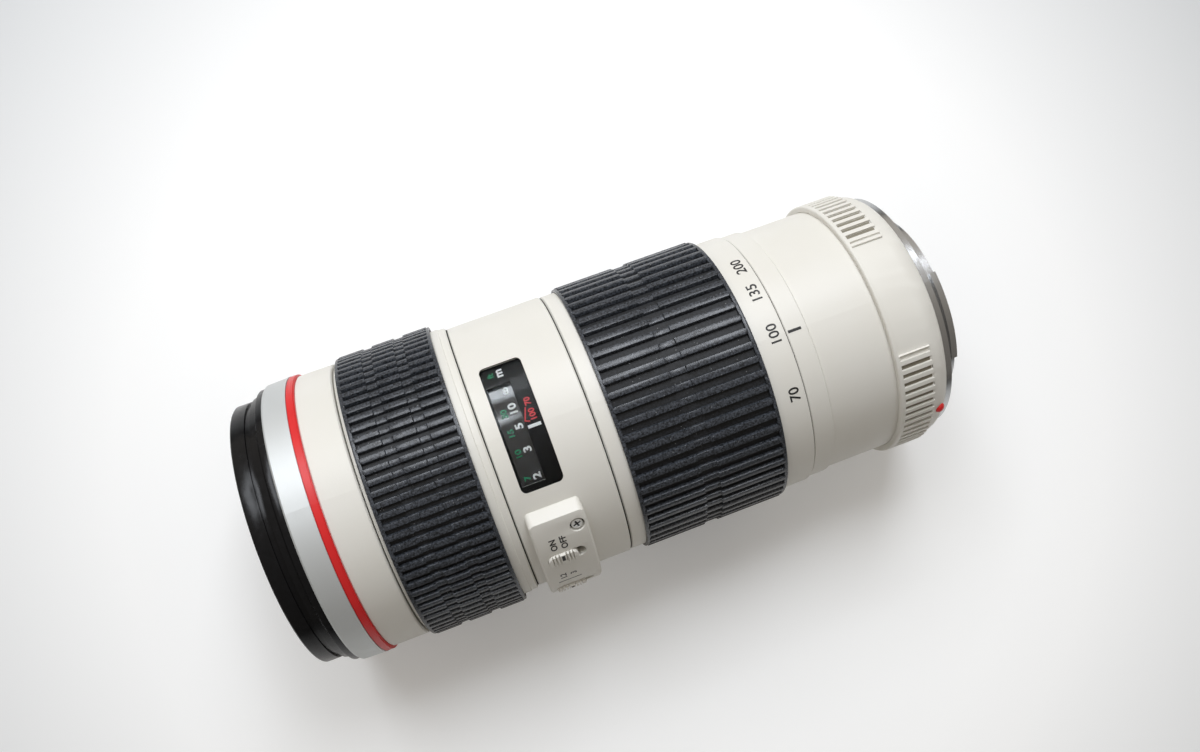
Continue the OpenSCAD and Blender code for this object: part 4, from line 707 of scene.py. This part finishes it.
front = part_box("filter_ring")[0].x
name_front, cell_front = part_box("name_ring")[0].x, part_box("front_cell")[0].x
FILTER_BORE, THREAD_DEPTH, THREAD_PITCH, THREAD_TURNS = 33.1 * MM, 0.35 * MM, 0.74 * MM, 7
RIM, GROOVE, STEP, TAIL = 34.7 * MM, 34.0 * MM, 35.3 * MM, 36.66 * MM
RIM_END, GROOVE_END, STEP_END = front + 3.6 * MM, front + 5.2 * MM, front + 6.6 * MM
RIM_CHAMFER, TAIL_LENGTH, TAIL_GAP, RING_ROUNDING = 0.3 * MM, 1.6 * MM, 0.04 * MM, 0.12 * MM
tail_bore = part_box("backbone_barrel")[1].z + TAIL_GAP
thread = [(front + (turn + share) * THREAD_PITCH, FILTER_BORE + depth)
          for turn in range(THREAD_TURNS)
          for share, depth in ((0.05, 0), (0.35, THREAD_DEPTH), (0.65, THREAD_DEPTH), (0.95, 0))]
outline = [(front, RIM - RIM_CHAMFER), (front + RIM_CHAMFER, RIM), (RIM_END, RIM), (RIM_END, GROOVE),
           (GROOVE_END, GROOVE), (GROOVE_END, STEP), (STEP_END, STEP),
           (name_front - TAIL_LENGTH, TAIL), (name_front, TAIL), (name_front, tail_bore),
           (cell_front, tail_bore), (cell_front, FILTER_BORE + THREAD_DEPTH)]
ring = turned("threaded_filter_ring", outline + thread[::-1] + [(front, FILTER_BORE)], ROUND_STEPS)
soften(ring, RING_ROUNDING)
ring.data.materials.append(black_plastic)
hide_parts("filter_ring")
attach(ring, "barrel")

# Bayonet and screws: chromed brass, turned and milled, and fixed from behind with plated steel screws.
# The plating is bright, and polished unevenly over some 3 mm where the camera's mount rubs.
chrome, shader, place = finish("chromed_mount_brass", {
    "Base Color": linear("#C6C7C8"), "Metallic": 1.0, "Roughness": 0.22})
rub = add(chrome, "ShaderNodeTexNoise", {"Scale": 1 / (3 * MM), "Detail": 3.0}, ("Vector", place))
gloss = add(chrome, "ShaderNodeMapRange", {"To Min": 0.16, "To Max": 0.3}, ("Value", rub.outputs["Fac"]))
feed(shader, "Roughness", gloss.outputs["Result"])
dress(chrome, "bayonet_mount", "mount_screws")

# Contacts: small domed pins, plated with gold and pressed into the contact block.
# The plate is a little worn, so that its sheen changes in spots of 0.4 mm.
gold, shader, place = finish("gold_plate", {
    "Base Color": linear("#E3B95B"), "Metallic": 1.0, "Roughness": 0.25})
wear = add(gold, "ShaderNodeTexNoise", {"Scale": 1 / (0.4 * MM), "Detail": 3.0}, ("Vector", place))
gloss = add(gold, "ShaderNodeMapRange", {"To Min": 0.18, "To Max": 0.4}, ("Value", wear.outputs["Fac"]))
feed(shader, "Roughness", gloss.outputs["Result"])
dress(gold, "contact_pins")

# Main board: a ring of glass laminate under a green solder mask, fixed inside the rear cover.
# The weave shows through as a slight change of green, 0.6 mm wide.
board, shader, place = finish("green_solder_mask", {"Base Color": linear("#1D5A38"), "Roughness": 0.35})
weave = add(board, "ShaderNodeTexNoise", {"Scale": 1 / (0.6 * MM), "Detail": 3.0}, ("Vector", place))
tone = add(board, "ShaderNodeMix", {"data_type": "RGBA", 6: linear("#17492D"), 7: linear("#266B45")},
           ("Factor", weave.outputs["Fac"]))
feed(shader, "Base Color", tone.outputs[2])
dress(board, "main_board")

# Floor: a plain table of white laminate that the lens lies on, touching the rear edges of both rubber grips.
# To the camera alone it glows a little near the lens, a painted pool of light, and more far off, as a pale
# backdrop does.
# Its colour darkens from 150 mm out from its middle, painted shade towards the corners of the view, and
# darkens further far off, so that it throws little light back on the lens.
focus_low, focus_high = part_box("focus_grip")
zoom_low, zoom_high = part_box("zoom_grip")
slope = (zoom_low.z - focus_low.z) / (zoom_high.x - focus_high.x)
FLOOR_SIZE, FLOOR_MIDDLE = 6.0, -78 * MM
GLOW_FROM, GLOW_TO, GLOW = 130 * MM, 240 * MM, 0.16
EDGE_FROM, EDGE_TO = 150 * MM, 250 * MM
FAR_FROM, FAR_TO, FAR_GLOW = 240 * MM, 360 * MM, 0.72
DUSK_FROM, DUSK_TO = 290 * MM, 430 * MM
bpy.ops.object.select_all(action="DESELECT")
bpy.ops.mesh.primitive_plane_add(size=FLOOR_SIZE)
floor = bpy.context.object
floor.name = "floor"
floor.rotation_euler.y = -math.atan(slope)
floor.location = (FLOOR_MIDDLE, 0, focus_low.z + slope * (FLOOR_MIDDLE - focus_high.x))
table, shader, place = finish("white_laminate", {
    "Base Color": linear("#EDEDEC"), "Roughness": 0.6, "Emission Color": linear("#FBFDFF")})
ray = add(table, "ShaderNodeLightPath", {})
reach = add(table, "ShaderNodeVectorMath", {"operation": "LENGTH"}, (0, place))
# The glow near the lens is a painted pool of light.
glow = add(table, "ShaderNodeMapRange", {
    "From Min": GLOW_FROM, "From Max": GLOW_TO, "To Min": GLOW, "To Max": 0.0},
           ("Value", reach.outputs["Value"]))
# This darker tone from 150 mm out is painted shade towards the corners of the view.
edge = add(table, "ShaderNodeMapRange", {"From Min": EDGE_FROM, "From Max": EDGE_TO},
           ("Value", reach.outputs["Value"]))
tone = add(table, "ShaderNodeMix", {"data_type": "RGBA", 6: linear("#EFEFEE"), 7: linear("#D2D4D5")},
           ("Factor", edge.outputs["Result"]))
far = add(table, "ShaderNodeMapRange", {
    "From Min": FAR_FROM, "From Max": FAR_TO, "To Max": FAR_GLOW}, ("Value", reach.outputs["Value"]))
dusk = add(table, "ShaderNodeMapRange", {"From Min": DUSK_FROM, "From Max": DUSK_TO},
           ("Value", reach.outputs["Value"]))
room = add(table, "ShaderNodeMix", {"data_type": "RGBA", 7: linear("#484848")},
           ("Factor", dusk.outputs["Result"]), (6, tone.outputs[2]))
feed(shader, "Base Color", room.outputs[2])
either = add(table, "ShaderNodeMath", {"operation": "ADD"},
             (0, glow.outputs["Result"]), (1, far.outputs["Result"]))
lift = add(table, "ShaderNodeMath", {"operation": "MULTIPLY"},
           (0, ray.outputs["Is Camera Ray"]), (1, either.outputs["Value"]))
feed(shader, "Emission Strength", lift.outputs["Value"])
floor.data.materials.append(table)

# Light: two large soft boxes and a strip from the top of the picture, a little cool.
# A warmer surround fills in, brighter on the side of the lamps, and the camera alone sees it near white.
MIDDLE, LAMP_DISTANCE = Vector((-85 * MM, 0, 0)), 0.9
SURROUND_LOW, SURROUND_HIGH, BACKDROP = 0.16, 0.58, 0.88


def soft_box(name, toward, width, height, power):
    """An area lamp that looks at the middle of the lens from a direction."""
    lamp = bpy.data.lights.new(name, "AREA")
    lamp.shape = "RECTANGLE"
    lamp.size, lamp.size_y, lamp.energy = width, height, power
    lamp.color = linear("#F3F8FF")[:3]
    holder = bpy.data.objects.new(name, lamp)
    bpy.context.scene.collection.objects.link(holder)
    holder.location = MIDDLE + Vector(toward).normalized() * LAMP_DISTANCE
    holder.rotation_euler = Vector(toward).to_track_quat("Z", "Y").to_euler()


soft_box("left_soft_box", (-0.21, 0.45, 0.87), width=0.25, height=0.42, power=2.2)
soft_box("right_soft_box", (0.24, 0.45, 0.86), width=0.25, height=0.42, power=3.2)
soft_box("strip_soft_box", (0.02, 0.69, 0.72), width=0.4, height=0.2, power=1.4)
world = bpy.data.worlds.new("white_surround")
world.use_nodes = True
background = world.node_tree.nodes["Background"]
direction = add(world, "ShaderNodeTexCoord", {}).outputs["Generated"]
side = add(world, "ShaderNodeSeparateXYZ", {}, ("Vector", direction))
level = add(world, "ShaderNodeMapRange", {
    "From Min": -1.0, "To Min": SURROUND_LOW, "To Max": SURROUND_HIGH}, ("Value", side.outputs["Y"]))
seen = add(world, "ShaderNodeLightPath", {}).outputs["Is Camera Ray"]
surround = add(world, "ShaderNodeMix", {"data_type": "FLOAT", 3: BACKDROP},
               ("Factor", seen), (2, level.outputs["Result"]))
tint = add(world, "ShaderNodeMix", {"data_type": "RGBA", 6: linear("#FFF6EA"), 7: linear("#FBFDFF")},
           ("Factor", seen))
feed(background, "Color", tint.outputs[2])
feed(background, "Strength", surround.outputs[0])
bpy.context.scene.world = world

# Camera: above the lens and a little to its front, with a wide view.
# Its place, its turn and its focal length were fitted to the outlines of the rings in the photograph.
camera = bpy.data.objects.new("camera", bpy.data.cameras.new("camera"))
bpy.context.scene.collection.objects.link(camera)
camera.data.sensor_width = 36
camera.data.lens = 30.91
camera.location = (-111.22 * MM, -28.16 * MM, 273.95 * MM)
camera.rotation_euler = [math.radians(turn) for turn in (9.667, -3.049, -20.662)]
camera.data.clip_start = 0.01
bpy.context.scene.camera = camera
bpy.context.scene.view_settings.view_transform = "Standard"
